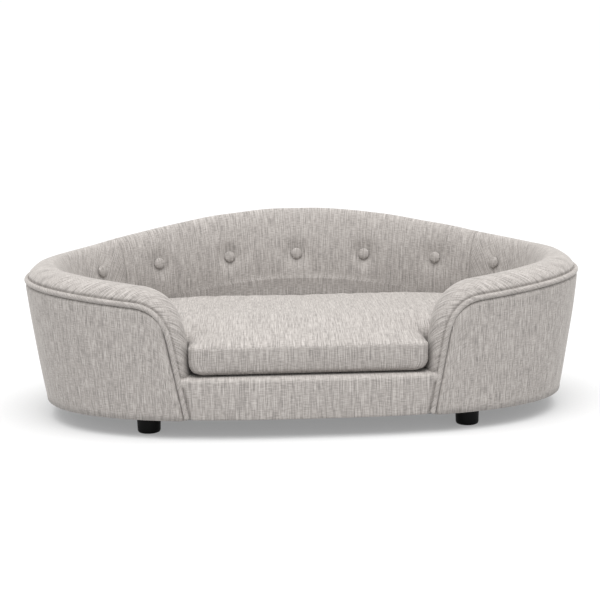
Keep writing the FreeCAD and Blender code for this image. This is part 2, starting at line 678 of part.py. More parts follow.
def make_buttons():
    """Covered buttons on the inside back, numbered from the left, and the ties behind them."""
    ties = []
    knot = INNER_PANEL[0]
    for number, (degrees, level) in enumerate(zip(BUTTON_ANGLES, BUTTON_LEVELS), start=1):
        label = f"button_{number}"
        button = lathe(label, [
            ("0", "0"), ("0.7 * Dims.ButtonRadius", "0"), ("Dims.ButtonRadius", "Dims.ButtonRim"),
            ("0.93 * Dims.ButtonRadius", "0.6 * Dims.ButtonHeight"),
            ("0.7 * Dims.ButtonRadius", "0.85 * Dims.ButtonHeight"),
            ("0.35 * Dims.ButtonRadius", "0.97 * Dims.ButtonHeight"), ("0", "Dims.ButtonHeight")])
        place = wall_station(math.radians(degrees) / BEND_ANGLE * BEND_STATION)
        seat = wall_point(place, INSIDE_COVER[1] + GAP, level)
        _, rim, into = place
        lean = (wall_point(place, 0, level) - rim).normalize()
        face = (into - lean * into.dot(lean)).normalize()
        button.Placement = FreeCAD.Placement(seat, FreeCAD.Rotation(Vector(0, 0, 1), face))
        keep(button, label)
        start = wall_point(place, knot, level)
        ties.append(Part.makeCylinder(SIZE["CordRadius"], (seat - start).dot(face), start, face))
    shaped("button_ties", Part.makeCompound(ties))


# ---- cushion ----

def cushion_outline(name, inset, level):
    """Face of the cushion's plan, moved inwards: an oval with a straight-sided front tongue."""
    width = SIZE["CushionHalfWidth"] - inset
    back = (width, SIZE["CushionBack"] - inset, SIZE["CushionBackShape"])
    front = (width, SIZE["CushionFront"] - inset, SIZE["CushionFrontShape"])
    side = SIZE["TongueHalfWidth"] - inset
    shoulder = front[1] * (1 - (side / width) ** front[2]) ** (1 / front[2])
    first = math.atan2(side, -shoulder)
    points = []
    for step in range(2 * CUSHION_STEPS + 1):
        angle = first * (1 - step / CUSHION_STEPS)
        x, y = oval_point(angle, *(front if math.cos(angle) < 0 else back))
        points.append(Vector(x, y, level))
    end = -SIZE["TongueFront"] + inset
    corner = SIZE["TongueCorner"]
    near = corner * (1 - math.sqrt(0.5))
    left = [Vector(-side, end + corner, level), Vector(-side + near, end + near, level),
            Vector(-side + corner, end, level)]
    right = [Vector(-point.x, point.y, level) for point in reversed(left)]
    loop = section([points, [points[-1], left[0]]])
    edges = loop.Edges + [Part.Arc(*left).toShape(), Part.makeLine(left[2], right[0]),
                          Part.Arc(*right).toShape(), Part.makeLine(right[2], points[0])]
    outline = doc.addObject("Part::Feature", name)
    outline.Shape = Part.Face(Part.Wire(edges))
    return outline


def make_cushion():
    """Foam block in a closed fabric cover."""
    fabric = SIZE["FabricThickness"]
    low = SIZE["CushionBottom"]
    outer = plate("cushion_body", cushion_outline("cushion_plan", 0, low), "Dims.CushionHeight")
    hollow = plate("cushion_hollow", cushion_outline("hollow_plan", fabric, low + fabric),
                   "Dims.CushionHeight - 2 * Dims.FabricThickness")
    cover = doc.addObject("Part::Cut", "cushion_cover")
    cover.Base = outer
    cover.Tool = hollow
    keep(cover, "cushion_cover")
    foam = plate("cushion_foam", cushion_outline("foam_plan", fabric + GAP, low + fabric + GAP),
                 "Dims.CushionHeight - 2 * Dims.FabricThickness - 2 * Dims.LayerGap")
    keep(foam, "cushion_foam")


def make_zip():
    """Zip tape round the back of the cushion, its slider and the pull that hangs from it."""
    centre = SIZE["CushionBack"] - SIZE["ZipRadius"]
    inner = SIZE["ZipRadius"] + SIZE["ZipStandOff"]
    outer = inner + SIZE["ZipThickness"]
    low = SIZE["ZipLevel"] - SIZE["ZipHeight"] / 2
    sweep = 2 * SIZE["ZipHalfAngle"]
    start = Vector(0, centre, low)
    ring = Part.makeCylinder(outer, SIZE["ZipHeight"], start, Vector(0, 0, 1), sweep)
    ring = ring.cut(Part.makeCylinder(inner, SIZE["ZipHeight"], start, Vector(0, 0, 1), sweep))
    ring.rotate(start, Vector(0, 0, 1), 90 - SIZE["ZipHalfAngle"])
    shaped("cushion_zip", ring)
    face = centre + outer + SIZE["ZipGap"]
    slider = doc.addObject("Part::Box", "zip_slider")
    slider.setExpression("Length", "Dims.SliderWidth")
    slider.setExpression("Width", "Dims.SliderThickness")
    slider.setExpression("Height", "Dims.SliderHeight")
    bottom = SIZE["ZipLevel"] - SIZE["SliderHeight"] / 2
    slider.Placement.Base = Vector(-SIZE["SliderWidth"] / 2, face, bottom)
    keep(slider, "zip_slider")
    pull = doc.addObject("Part::Box", "zip_pull")
    pull.setExpression("Length", "Dims.PullWidth")
    pull.setExpression("Width", "Dims.PullThickness")
    pull.setExpression("Height", "Dims.PullLength")
    outside = face + SIZE["SliderThickness"] + SIZE["ZipGap"]
    pull.Placement.Base = Vector(-SIZE["PullWidth"] / 2, outside, SIZE["ZipLevel"] - SIZE["PullLength"])
    keep(pull, "zip_pull")


# ---- small fasteners ----

def make_screws():
    """Screws up through the base board into the ribs, the wing posts and the bearers."""
    screw = lathe("screw_pattern", [
        ("0", "0"), ("Dims.ScrewHeadRadius", "0"), ("Dims.ScrewRadius", "Dims.ScrewHeadHeight"),
        ("Dims.ScrewRadius", "0.9 * Dims.ScrewLength"), ("0", "Dims.ScrewLength")])
    middle = (RIBS[0] + RIBS[1]) / 2
    post = (1 + POST_STATION) / 2
    spots = [wall_point(wall_station(station), middle, BOARD_BOTTOM)
             for station in (*RIB_STATIONS.values(), post, -post)]
    for step in range(len(BEARERS)):
        along = (step - 1) * SIZE["BearerSpacing"]
        for side in (-1, 1):
            spots.append(Vector(side * SIZE["BearerScrew"], along, BOARD_BOTTOM))
    copies("frame_screws", screw, spots)


STAPLES = 36


def make_staples():
    """Staples that hold the dust cover to the base board, in a ring."""
    wire = SIZE["StapleWire"]
    wide = SIZE["StapleWidth"]
    low = SIZE["FootHeight"] - wire
    crown = Part.makeBox(wide, wire, wire, Vector(-wide / 2, 0, low))
    leg = Part.makeBox(wire, wire, SIZE["StapleLeg"], Vector(-wide / 2, 0, low + wire))
    other = Part.makeBox(wire, wire, SIZE["StapleLeg"], Vector(wide / 2 - wire, 0, low + wire))
    staple = crown.fuse([leg, other]).removeSplitter()
    ring = []
    for number in range(STAPLES):
        angle = 2 * math.pi * (number + 0.5) / STAPLES
        x, y = outside_point(angle, SIZE["FootHeight"])
        into = inward(x, y, SIZE["FootHeight"])
        spot = Vector(x, y, 0) + into * (2 * RIBS[0])
        turned = FreeCAD.Rotation(Vector(0, 1, 0), into)
        copy = staple.copy()
        copy.Placement = FreeCAD.Placement(spot, turned)
        ring.append(copy)
    shaped("dust_cover_staples", Part.makeCompound(ring))


make_feet()
make_foot_fasteners()
make_boards()
make_bearers()
make_apron()
make_wall_frame()
make_outside()
make_inside()
make_welt()
make_buttons()
make_cushion()
make_zip()
make_screws()
make_staples()
doc.recompute()

faults = [item.Name for item in doc.Objects if "Invalid" in item.State or "Error" in item.State]
for piece in subparts:
    if piece.Shape.isNull() or not piece.Shape.isValid():
        faults.append(piece.Label)
if faults:
    raise RuntimeError(f"not built: {faults}")
for piece in subparts:
    piece.Shape.exportStep(f"parts/{piece.Label}.step")
print(f"{len(subparts)} sub-parts written")
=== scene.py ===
"""Looks of an oval upholstered pet sofa: covers, welt, buttons, loose cushion, zip and the frame inside.

Lengths are in millimetres in the bed's own plan, where the wall's ovals have their middle, until a
mesh is made: placed() turns them into metres in the shared frame.
"""

import logging
import math
from dataclasses import dataclass, field
from enum import Enum

import bmesh
import bpy
import numpy as np
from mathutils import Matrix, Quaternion, Vector, geometry, kdtree, noise

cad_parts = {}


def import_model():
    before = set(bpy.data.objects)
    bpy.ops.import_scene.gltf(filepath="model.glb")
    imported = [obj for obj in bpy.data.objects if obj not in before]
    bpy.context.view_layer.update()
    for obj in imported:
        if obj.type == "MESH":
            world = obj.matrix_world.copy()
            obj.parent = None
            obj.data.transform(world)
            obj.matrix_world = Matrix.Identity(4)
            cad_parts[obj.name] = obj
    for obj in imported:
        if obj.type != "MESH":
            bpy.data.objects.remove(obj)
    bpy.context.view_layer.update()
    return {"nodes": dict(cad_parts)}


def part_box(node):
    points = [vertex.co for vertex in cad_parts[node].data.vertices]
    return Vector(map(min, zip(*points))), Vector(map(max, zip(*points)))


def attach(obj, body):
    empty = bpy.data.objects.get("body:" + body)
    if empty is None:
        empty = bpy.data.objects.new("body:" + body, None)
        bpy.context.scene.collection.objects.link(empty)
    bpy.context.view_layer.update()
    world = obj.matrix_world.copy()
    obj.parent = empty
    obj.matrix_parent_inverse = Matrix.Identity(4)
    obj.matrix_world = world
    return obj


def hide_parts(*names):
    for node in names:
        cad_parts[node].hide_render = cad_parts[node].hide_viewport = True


LOG = logging.getLogger("pet_sofa")
MM = 0.001
PLAN_SHIFT = -5.4
CLOTH = "cloth"
FAR = 1e3
Socket = bpy.types.NodeSocket
Tree = bpy.types.NodeTree
Node = bpy.types.Node
Material = bpy.types.Material
Piece = bpy.types.Object


# ---- shared helpers ----

def smooth_step(share: np.ndarray) -> np.ndarray:
    """Ease from 0 to 1 over the same range, flat at both ends."""
    held = np.clip(share, 0.0, 1.0)
    return held * held * (3 - 2 * held)


def bell(distance: np.ndarray, width: float) -> np.ndarray:
    """Soft bump of height 1 that has faded out at about twice its width."""
    return np.exp(-(distance / width) ** 2)


def placed(points: np.ndarray) -> np.ndarray:
    """Turn points of the bed's own plan, in millimetres, into metres in the shared frame."""
    return (points + np.array([0.0, PLAN_SHIFT, 0.0])) * MM


def from_frame(corner: Vector) -> np.ndarray:
    """Turn a point of the shared frame, in metres, into the bed's own plan, in millimetres."""
    return np.array(corner) / MM - np.array([0.0, PLAN_SHIFT, 0.0])


def node_box(name: str) -> tuple[np.ndarray, np.ndarray]:
    """Lowest and highest corner of a CAD node, in the bed's own plan, in millimetres."""
    low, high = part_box(name)
    return from_frame(low), from_frame(high)


def wander(points: np.ndarray, size: float, seed: float) -> np.ndarray:
    """Slow random swelling between -1 and 1.

    Args:
        points: array of points, in millimetres.
        size: distance over which it changes, in millimetres.
        seed: shift that makes one piece's swelling differ from another's.

    Returns:
        One number for each point, in the shape of the array.
    """
    flat = points.reshape(-1, 3) / size + seed
    return np.array([noise.noise(Vector(spot)) for spot in flat]).reshape(points.shape[:-1])


def grid_normals(grid: np.ndarray) -> np.ndarray:
    """Unit normals of a grid of points, along the cross product of its two directions."""
    along = np.gradient(grid, axis=0)
    across = np.gradient(grid, axis=1)
    normal = np.cross(along, across)
    return normal / np.maximum(np.linalg.norm(normal, axis=-1, keepdims=True), 1e-9)


def grid_faces(columns: int, rows: int, start: int = 0) -> list[tuple[int, int, int, int]]:
    """Quads of a grid whose points are numbered row by row inside each column."""
    faces = []
    for column in range(columns - 1):
        for row in range(rows - 1):
            first = start + column * rows + row
            faces.append((first, first + rows, first + rows + 1, first + 1))
    return faces


def between_rings(lower: int, upper: int, sides: int) -> list[tuple[int, int, int, int]]:
    """Quads between two closed rings of points, each given by its number."""
    low, high = lower * sides, upper * sides
    faces = []
    for side in range(sides):
        after = (side + 1) % sides
        faces.append((low + side, high + side, high + after, low + after))
    return faces


def run_length(line: np.ndarray) -> np.ndarray:
    """Distance along a line of points from its first one."""
    steps = np.linalg.norm(np.diff(line, axis=0), axis=-1)
    return np.concatenate([[0.0], np.cumsum(steps)])


def make_piece(name: str, points: np.ndarray, faces: list, material: Material,
               cloth: np.ndarray | None = None, weld: bool = False) -> Piece:
    """Make an object from points in millimetres.

    Args:
        name: the piece's name.
        points: the points, one row each, in the bed's own plan.
        faces: tuples of point numbers.
        material: what it is made of.
        cloth: place of each point, or of each face corner, on the flat cloth, in millimetres.
        weld: join points that lie together.

    Returns:
        The new object, linked to the scene.
    """
    mesh = bpy.data.meshes.new(name)
    mesh.from_pydata(placed(points).tolist(), [], faces)
    if cloth is not None:
        domain = "POINT" if len(cloth) == len(points) else "CORNER"
        layer = mesh.attributes.new(CLOTH, "FLOAT_VECTOR", domain)
        flat = np.zeros((len(cloth), 3), np.float32)
        flat[:, :2] = cloth * MM
        layer.data.foreach_set("vector", flat.ravel())
    edit = bmesh.new()
    edit.from_mesh(mesh)
    if weld:
        bmesh.ops.remove_doubles(edit, verts=edit.verts, dist=0.2 * MM)
    bmesh.ops.recalc_face_normals(edit, faces=edit.faces)
    edit.to_mesh(mesh)
    edit.free()
    mesh.shade_smooth()
    mesh.materials.append(material)
    piece = bpy.data.objects.new(name, mesh)
    bpy.context.scene.collection.objects.link(piece)
    return piece


def thicken(piece: Piece, thickness: float) -> None:
    """Give a sheet its cloth's thickness, in millimetres, behind its face."""
    solidify = piece.modifiers.new("cloth_thickness", "SOLIDIFY")
    solidify.thickness = thickness * MM
    solidify.offset = -1.0


def face_outwards(piece: Piece, towards: np.ndarray) -> None:
    """Turn all faces round if the middle one looks away from a direction."""
    mesh = piece.data
    middle = mesh.polygons[len(mesh.polygons) // 2]
    if Vector(towards).dot(middle.normal) < 0:
        mesh.flip_normals()


def make_sheet(name: str, grid: np.ndarray, cloth: np.ndarray, material: Material, towards: np.ndarray,
               thickness: float) -> Piece:
    """Make one sheet of cloth from a grid of points and of their places on the flat cloth.

    Args:
        name: the piece's name.
        grid: the points, in millimetres, in the bed's own plan.
        cloth: place of each point on the flat cloth.
        material: what it is made of.
        towards: direction that its face looks in.
        thickness: the cloth's thickness, in millimetres.

    Returns:
        The new object.
    """
    piece = make_piece(name, grid.reshape(-1, 3), grid_faces(*grid.shape[:2]), material, cloth.reshape(-1, 2))
    face_outwards(piece, towards)
    thicken(piece, thickness)
    return piece


# ---- finishes ----

def linear(code: str) -> tuple[float, float, float, float]:
    """Turn an sRGB hex colour such as #a0b0c0 into linear red, green, blue and alpha."""
    parts = [int(code[start:start + 2], 16) / 255 for start in (1, 3, 5)]
    light = [part / 12.92 if part <= 0.04045 else ((part + 0.055) / 1.055) ** 2.4 for part in parts]
    return light[0], light[1], light[2], 1.0


def add_node(tree: Tree, kind: str, inputs: dict | None = None, **settings) -> Node:
    """Add a node with its settings and links.

    Args:
        tree: the material's node tree.
        kind: the node's type name.
        inputs: for each input's name or number, a value to set or a socket to link from.
        settings: properties of the node itself.

    Returns:
        The new node.
    """
    made = tree.nodes.new(kind)
    for key, value in settings.items():
        setattr(made, key, value)
    for key, value in (inputs or {}).items():
        if isinstance(value, Socket):
            tree.links.new(value, made.inputs[key])
        else:
            made.inputs[key].default_value = value
    return made


def blank(name: str, roughness: float, metallic: float = 0.0) -> tuple[Material, Tree, Node]:
    """Start a material: its node tree and its principled shader."""
    material = bpy.data.materials.new(name)
    material.use_nodes = True
    tree = material.node_tree
    shader = tree.nodes["Principled BSDF"]
    tune(shader, Roughness=roughness, Metallic=metallic)
    return material, tree, shader


class Space(Enum):
    """Where a finish's pattern is laid."""

    FLAT_CLOTH = "flat cloth"
    OBJECT = "object"


def pattern(tree: Tree, space: Space, pitch: tuple[float, float, float], detail: float = 2.0,
            kind: str = "ShaderNodeTexNoise", **settings) -> Socket:
    """Lay a procedural pattern of a real size.

    Args:
        tree: the material's node tree.
        space: on the flat cloth or through the solid.
        pitch: size of one patch along each direction, in millimetres.
        detail: octaves of a noise.
        kind: the texture node's type name.
        settings: properties of the texture node.

    Returns:
        The texture's first output.
    """
    if space is Space.FLAT_CLOTH:
        place = add_node(tree, "ShaderNodeAttribute", attribute_name=CLOTH).outputs["Vector"]
    else:
        place = add_node(tree, "ShaderNodeTexCoord").outputs["Object"]
    scale = tuple(1 / (size * MM) for size in pitch)
    spread = add_node(tree, "ShaderNodeVectorMath", {0: place, 1: scale}, operation="MULTIPLY")
    inputs = {"Vector": spread.outputs[0], "Scale": 1.0}
    if kind == "ShaderNodeTexNoise":
        inputs["Detail"] = detail
    return add_node(tree, kind, inputs, **settings).outputs[0]


def blend_sockets(tree: Tree, share: Socket, low: object, high: object,
                  span: tuple[float, float] = (0.3, 0.7)) -> Socket:
    """Mix two colours by a pattern, with the pattern's own range stretched to full."""
    ends = {"Value": share, "From Min": span[0], "From Max": span[1]}
    stretched = add_node(tree, "ShaderNodeMapRange", ends)
    mixed = add_node(tree, "ShaderNodeMix", {0: stretched.outputs[0], 6: low, 7: high}, data_type="RGBA")
    return mixed.outputs[2]


def tune(shader: Node, **values: object) -> None:
    """Set plain inputs of the shader; an underscore in a name stands for a space."""
    for name, value in values.items():
        shader.inputs[name.replace("_", " ")].default_value = value


def paint(tree: Tree, shader: Node, share: Socket, low: str, high: str,
          span: tuple[float, float] = (0.3, 0.7)) -> None:
    """Colour the shader between two hex colours by a pattern."""
    colour = blend_sockets(tree, share, linear(low), linear(high), span)
    tree.links.new(colour, shader.inputs["Base Color"])


def vary_roughness(tree: Tree, shader: Node, share: Socket, smoothest: float, roughest: float) -> None:
    """Change the shader's roughness between two values by a pattern."""
    rough = add_node(tree, "ShaderNodeMapRange", {"Value": share, "To Min": smoothest, "To Max": roughest})
    tree.links.new(rough.outputs[0], shader.inputs["Roughness"])


def weigh(tree: Tree, *terms: tuple[Socket, float]) -> Socket:
    """Add several heights together, each with its own weight."""
    total = None
    for socket, weight in terms:
        part = add_node(tree, "ShaderNodeMath", {0: socket, 1: weight}, operation="MULTIPLY").outputs[0]
        if total is None:
            total = part
            continue
        total = add_node(tree, "ShaderNodeMath", {0: total, 1: part}, operation="ADD").outputs[0]
    return total


def raise_surface(tree: Tree, shader: Node, height: Socket, depth: float,
                  strength: float = 1.0) -> None:
    """Emboss the shader with a height pattern whose full depth is in millimetres."""
    bump = add_node(tree, "ShaderNodeBump", {"Height": height, "Distance": depth * MM, "Strength": strength})
    tree.links.new(bump.outputs[0], shader.inputs["Normal"])


@dataclass(frozen=True)
class SlubWeave:
    """Polyester linen, plain woven from slub yarn.

    Thick and thin places in the warp yarn give fine streaks up the cloth, the weft gives a faint
    cross rib, and loose fibre ends give a soft sheen at grazing angles.
    """

    name: str = "polyester_linen_slub_woven"
    shade: str = "#7b7774"
    body: str = "#97928e"
    light: str = "#b0aba7"
    # Real yarns are about 0.8 mm apart; they are drawn at 1.3 mm, so that they still show.
    yarn: float = 1.3
    slub_length: float = 24.0
    streak: float = 2.4
    streak_length: float = 110.0
    patch: float = 90.0
    relief: float = 0.5

    def build(self) -> Material:
        """Make the material."""
        material, tree, shader = blank(self.name, 0.88)
        slub = pattern(tree, Space.FLAT_CLOTH, (self.yarn, self.slub_length, 1), 3)
        streak = pattern(tree, Space.FLAT_CLOTH, (self.streak, self.streak_length, 1), 4)
        cross = pattern(tree, Space.FLAT_CLOTH, (self.slub_length / 2, self.yarn, 1), 2)
        patch = pattern(tree, Space.FLAT_CLOTH, (self.patch, self.patch, self.patch), 2)
        mottle = weigh(tree, (slub, 0.44), (streak, 0.26), (cross, 0.28), (patch, 0.02))
        dark = blend_sockets(tree, mottle, linear(self.shade), linear(self.body), (0.4, 0.5))
        colour = blend_sockets(tree, mottle, dark, linear(self.light), (0.5, 0.6))
        tree.links.new(colour, shader.inputs["Base Color"])
        relief = weigh(tree, (slub, 0.6), (cross, 0.4))
        raise_surface(tree, shader, relief, self.relief, 0.8)
        tune(shader, Sheen_Weight=0.25, Sheen_Roughness=0.45, Sheen_Tint=linear("#e8e4df"),
             Specular_IOR_Level=0.25)
        return material


@dataclass(frozen=True)
class SpunbondCloth:
    """Polypropylene dust cloth, spunbonded and point-bonded by a hot roller.

    The roller leaves a grid of small pressed dots in a matt web of random fibre.
    """

    name: str = "polypropylene_spunbonded"
    web: str = "#17171a"
    fibre: str = "#2a2a2e"
    # Bond points are 1 mm apart in truth and are drawn at 2.5 mm, so that they still show.
    dot_pitch: float = 2.5
    fibre_size: float = 6.0

    def build(self) -> Material:
        """Make the material."""
        material, tree, shader = blank(self.name, 0.8)
        dots = pattern(tree, Space.OBJECT, (self.dot_pitch,) * 3, kind="ShaderNodeTexVoronoi")
        fibre = pattern(tree, Space.OBJECT, (self.fibre_size,) * 3, 5)
        paint(tree, shader, fibre, self.web, self.fibre)
        raise_surface(tree, shader, weigh(tree, (dots, 0.7), (fibre, 0.3)), 0.25, 0.6)
        return material


@dataclass(frozen=True)
class MouldedPlastic:
    """Polypropylene, injection moulded in a spark-eroded tool.

    The tool's fine pitting gives a satin black with soft, broken highlights.
    """

    name: str = "polypropylene_moulded_black"
    colour: str = "#020202"
    worn: str = "#060606"
    # Spark pits are about 0.1 mm wide and are drawn at 0.8 mm, so that they still show.
    pit: float = 0.8
    scuff: float = 14.0

    def build(self) -> Material:
        """Make the material."""
        material, tree, shader = blank(self.name, 0.42)
        pits = pattern(tree, Space.OBJECT, (self.pit,) * 3, 3)
        scuffs = pattern(tree, Space.OBJECT, (self.scuff, self.scuff, self.scuff / 4), 6)
        paint(tree, shader, scuffs, self.colour, self.worn, (0.45, 0.75))
        vary_roughness(tree, shader, scuffs, 0.36, 0.55)
        raise_surface(tree, shader, pits, 0.08, 0.5)
        tune(shader, Specular_IOR_Level=0.12)
        return material


class Grain(Enum):
    """Which way a timber's grain runs in the bed."""

    ACROSS = (70.0, 7.0, 7.0)
    UPRIGHT = (7.0, 7.0, 70.0)


@dataclass(frozen=True)
class PlanedPine:
    """Pine, sawn and planed.

    Growth rings show as warm streaks along the grain, and the planer leaves a dull sheen.
    """

    grain: Grain
    name: str = "pine_planed"
    early: str = "#dcc396"
    late: str = "#b98f58"
    pore: float = 1.2

    def build(self) -> Material:
        """Make the material."""
        material, tree, shader = blank(f"{self.name}_{self.grain.name.lower()}", 0.55)
        rings = pattern(tree, Space.OBJECT, self.grain.value, 4)
        pores = pattern(tree, Space.OBJECT, tuple(size * self.pore / 7 for size in self.grain.value), 3)
        wood = weigh(tree, (rings, 0.7), (pores, 0.3))
        paint(tree, shader, wood, self.early, self.late, (0.42, 0.6))
        raise_surface(tree, shader, pores, 0.15, 0.4)
        return material


@dataclass(frozen=True)
class PoplarPlywood:
    """Poplar plywood, rotary cut and pressed.

    The faces show wide wandering figure, and the edges show the glue lines between plies.
    """

    name: str = "poplar_plywood_pressed"
    face: str = "#cfb487"
    figure: str = "#b4935f"
    glue: str = "#7d6037"
    ply: float = 2.4
    figure_size: float = 60.0

    def build(self) -> Material:
        """Make the material."""
        material, tree, shader = blank(self.name, 0.62)
        figure = pattern(tree, Space.OBJECT, (self.figure_size * 3, self.figure_size / 3, self.ply), 4)
        plies = pattern(tree, Space.OBJECT, (1e4, 1e4, self.ply * 2), kind="ShaderNodeTexWave",
                        wave_type="BANDS", bands_direction="Z")
        wood = blend_sockets(tree, figure, linear(self.face), linear(self.figure))
        normal = add_node(tree, "ShaderNodeNewGeometry").outputs["True Normal"]
        upright = add_node(tree, "ShaderNodeSeparateXYZ", {0: normal}).outputs[2]
        flat = add_node(tree, "ShaderNodeMath", {0: upright}, operation="ABSOLUTE").outputs[0]
        edge = blend_sockets(tree, plies, wood, linear(self.glue), (0.6, 1.0))
        tree.links.new(blend_sockets(tree, flat, edge, wood, (0.4, 0.6)), shader.inputs["Base Color"])
        raise_surface(tree, shader, figure, 0.2, 0.4)
        return material


@dataclass(frozen=True)
class PressedHardboard:
    """Hardboard, wet felted and hot pressed.

    Short dark fibres are felted into a brown sheet with a faintly burnished face.
    """

    name: str = "hardboard_pressed"
    body: str = "#6d4a2b"
    fibre: str = "#8a6440"
    fibre_size: float = 2.2

    def build(self) -> Material:
        """Make the material."""
        material, tree, shader = blank(self.name, 0.5)
        fibre = pattern(tree, Space.OBJECT, (self.fibre_size, self.fibre_size, self.fibre_size * 2), 5)
        paint(tree, shader, fibre, self.body, self.fibre)
        raise_surface(tree, shader, fibre, 0.1, 0.3)
        return material


@dataclass(frozen=True)
class ZincSteel:
    """Mild steel, electroplated with zinc and passivated.

    The plating is bright with a faint blue and straw cast that changes from place to place.
    """

    name: str = "steel_zinc_plated"
    blue: str = "#b9bfc6"
    straw: str = "#c9c3b0"
    cast: float = 5.0

    def build(self) -> Material:
        """Make the material."""
        material, tree, shader = blank(self.name, 0.34, 1.0)
        cast = pattern(tree, Space.OBJECT, (self.cast,) * 3, 3)
        paint(tree, shader, cast, self.blue, self.straw)
        raise_surface(tree, shader, cast, 0.04, 0.5)
        return material


@dataclass(frozen=True)
class CastZinc:
    """Zinc alloy, die cast, tumbled and nickel plated.

    Tumbling rounds the edges and leaves small dull marks in a bright grey plating.
    """

    name: str = "zinc_die_cast_nickel_plated"
    colour: str = "#a9a8a4"
    dull: str = "#83817c"
    mark: float = 1.5

    def build(self) -> Material:
        """Make the material."""
        material, tree, shader = blank(self.name, 0.3, 1.0)
        marks = pattern(tree, Space.OBJECT, (self.mark,) * 3, 5)
        paint(tree, shader, marks, self.colour, self.dull, (0.45, 0.75))
        vary_roughness(tree, shader, marks, 0.2, 0.5)
        return material


@dataclass(frozen=True)
class TwistedCord:
    """Polyester button twine, twisted from three plies.

    The twist shows as slanting light and dark bands.
    """

    name: str = "polyester_twine_twisted"
    light: str = "#dcd8cd"
    dark: str = "#b3ada0"
    lay: float = 3.0

    def build(self) -> Material:
        """Make the material."""
        material, tree, shader = blank(self.name, 0.7)
        twist = pattern(tree, Space.OBJECT, (self.lay,) * 3, kind="ShaderNodeTexWave",
                        wave_type="BANDS", bands_direction="DIAGONAL")
        paint(tree, shader, twist, self.dark, self.light)
        raise_surface(tree, shader, twist, 0.3, 0.7)
        return material


@dataclass(frozen=True)
class HerringboneTape:
    """Polyester zip tape, woven in a herringbone.

    Slanting ribs that change direction every few millimetres catch the light in turn.
    """

    name: str = "polyester_tape_herringbone"
    body: str = "#8d8780"
    rib: str = "#a7a199"
    rib_pitch: float = 1.6

    def build(self) -> Material:
        """Make the material."""
        material, tree, shader = blank(self.name, 0.82)
        ribs = pattern(tree, Space.FLAT_CLOTH, (self.rib_pitch,) * 3, kind="ShaderNodeTexWave",
                       wave_type="BANDS", bands_direction="DIAGONAL")
        fuzz = pattern(tree, Space.FLAT_CLOTH, (0.9, 0.9, 1), 2)
        height = weigh(tree, (ribs, 0.7), (fuzz, 0.3))
        paint(tree, shader, height, self.body, self.rib)
        raise_surface(tree, shader, height, 0.3, 0.7)
        tune(shader, Sheen_Weight=0.15)
        return material


@dataclass(frozen=True)
class DrawnNylon:
    """Nylon monofilament, drawn and coiled.

    The drawn filament is smooth and slightly glossy, a little darker than the tape.
    """

    name: str = "nylon_monofilament_drawn"
    colour: str = "#77716b"
    pale: str = "#8b857e"

    def build(self) -> Material:
        """Make the material."""
        material, tree, shader = blank(self.name, 0.32)
        tone = pattern(tree, Space.OBJECT, (4.0, 4.0, 4.0), 2)
        paint(tree, shader, tone, self.colour, self.pale)
        tune(shader, IOR=1.53)
        return material


@dataclass(frozen=True)
class StudioFloor:
    """Studio floor: opal acrylic sheet, cast and sanded matt, with a painted glow: the floor emits light
    itself, so that shadows on it stay pale.

    The sanding leaves a very faint stipple in an even pale grey.
    """

    name: str = "opal_acrylic_cast_sanded"
    colour: str = "#b4b4b4"
    dip: str = "#b0b0b0"
    # Strength of the painted glow: light that the floor itself emits, which keeps shadows on it pale.
    glow: float = 0.27
    stipple: float = 4.0

    def build(self) -> Material:
        """Make the material."""
        material, tree, shader = blank(self.name, 0.9)
        dots = pattern(tree, Space.OBJECT, (self.stipple,) * 3, 3)
        paint(tree, shader, dots, self.dip, self.colour)
        # The emission is the painted glow that lifts the shadows on the floor.
        tune(shader, Specular_IOR_Level=0.1, Emission_Color=linear("#ffffff"), Emission_Strength=self.glow)
        return material


# ---- the wall's own shape ----

@dataclass(frozen=True)
class Oval:
    """One half of the wall's plan at one level: half width, depth and roundness."""

    width: float
    depth: float
    shape: float


@dataclass(frozen=True)
class Place:
    """A station on the rim: foot and rim of the wall, the way into it, and the way out of the rim."""

    foot: np.ndarray
    rim: np.ndarray
    into: np.ndarray
    away: np.ndarray


def unit(vector: np.ndarray) -> np.ndarray:
    """The vector at length 1."""
    return vector / np.linalg.norm(vector)


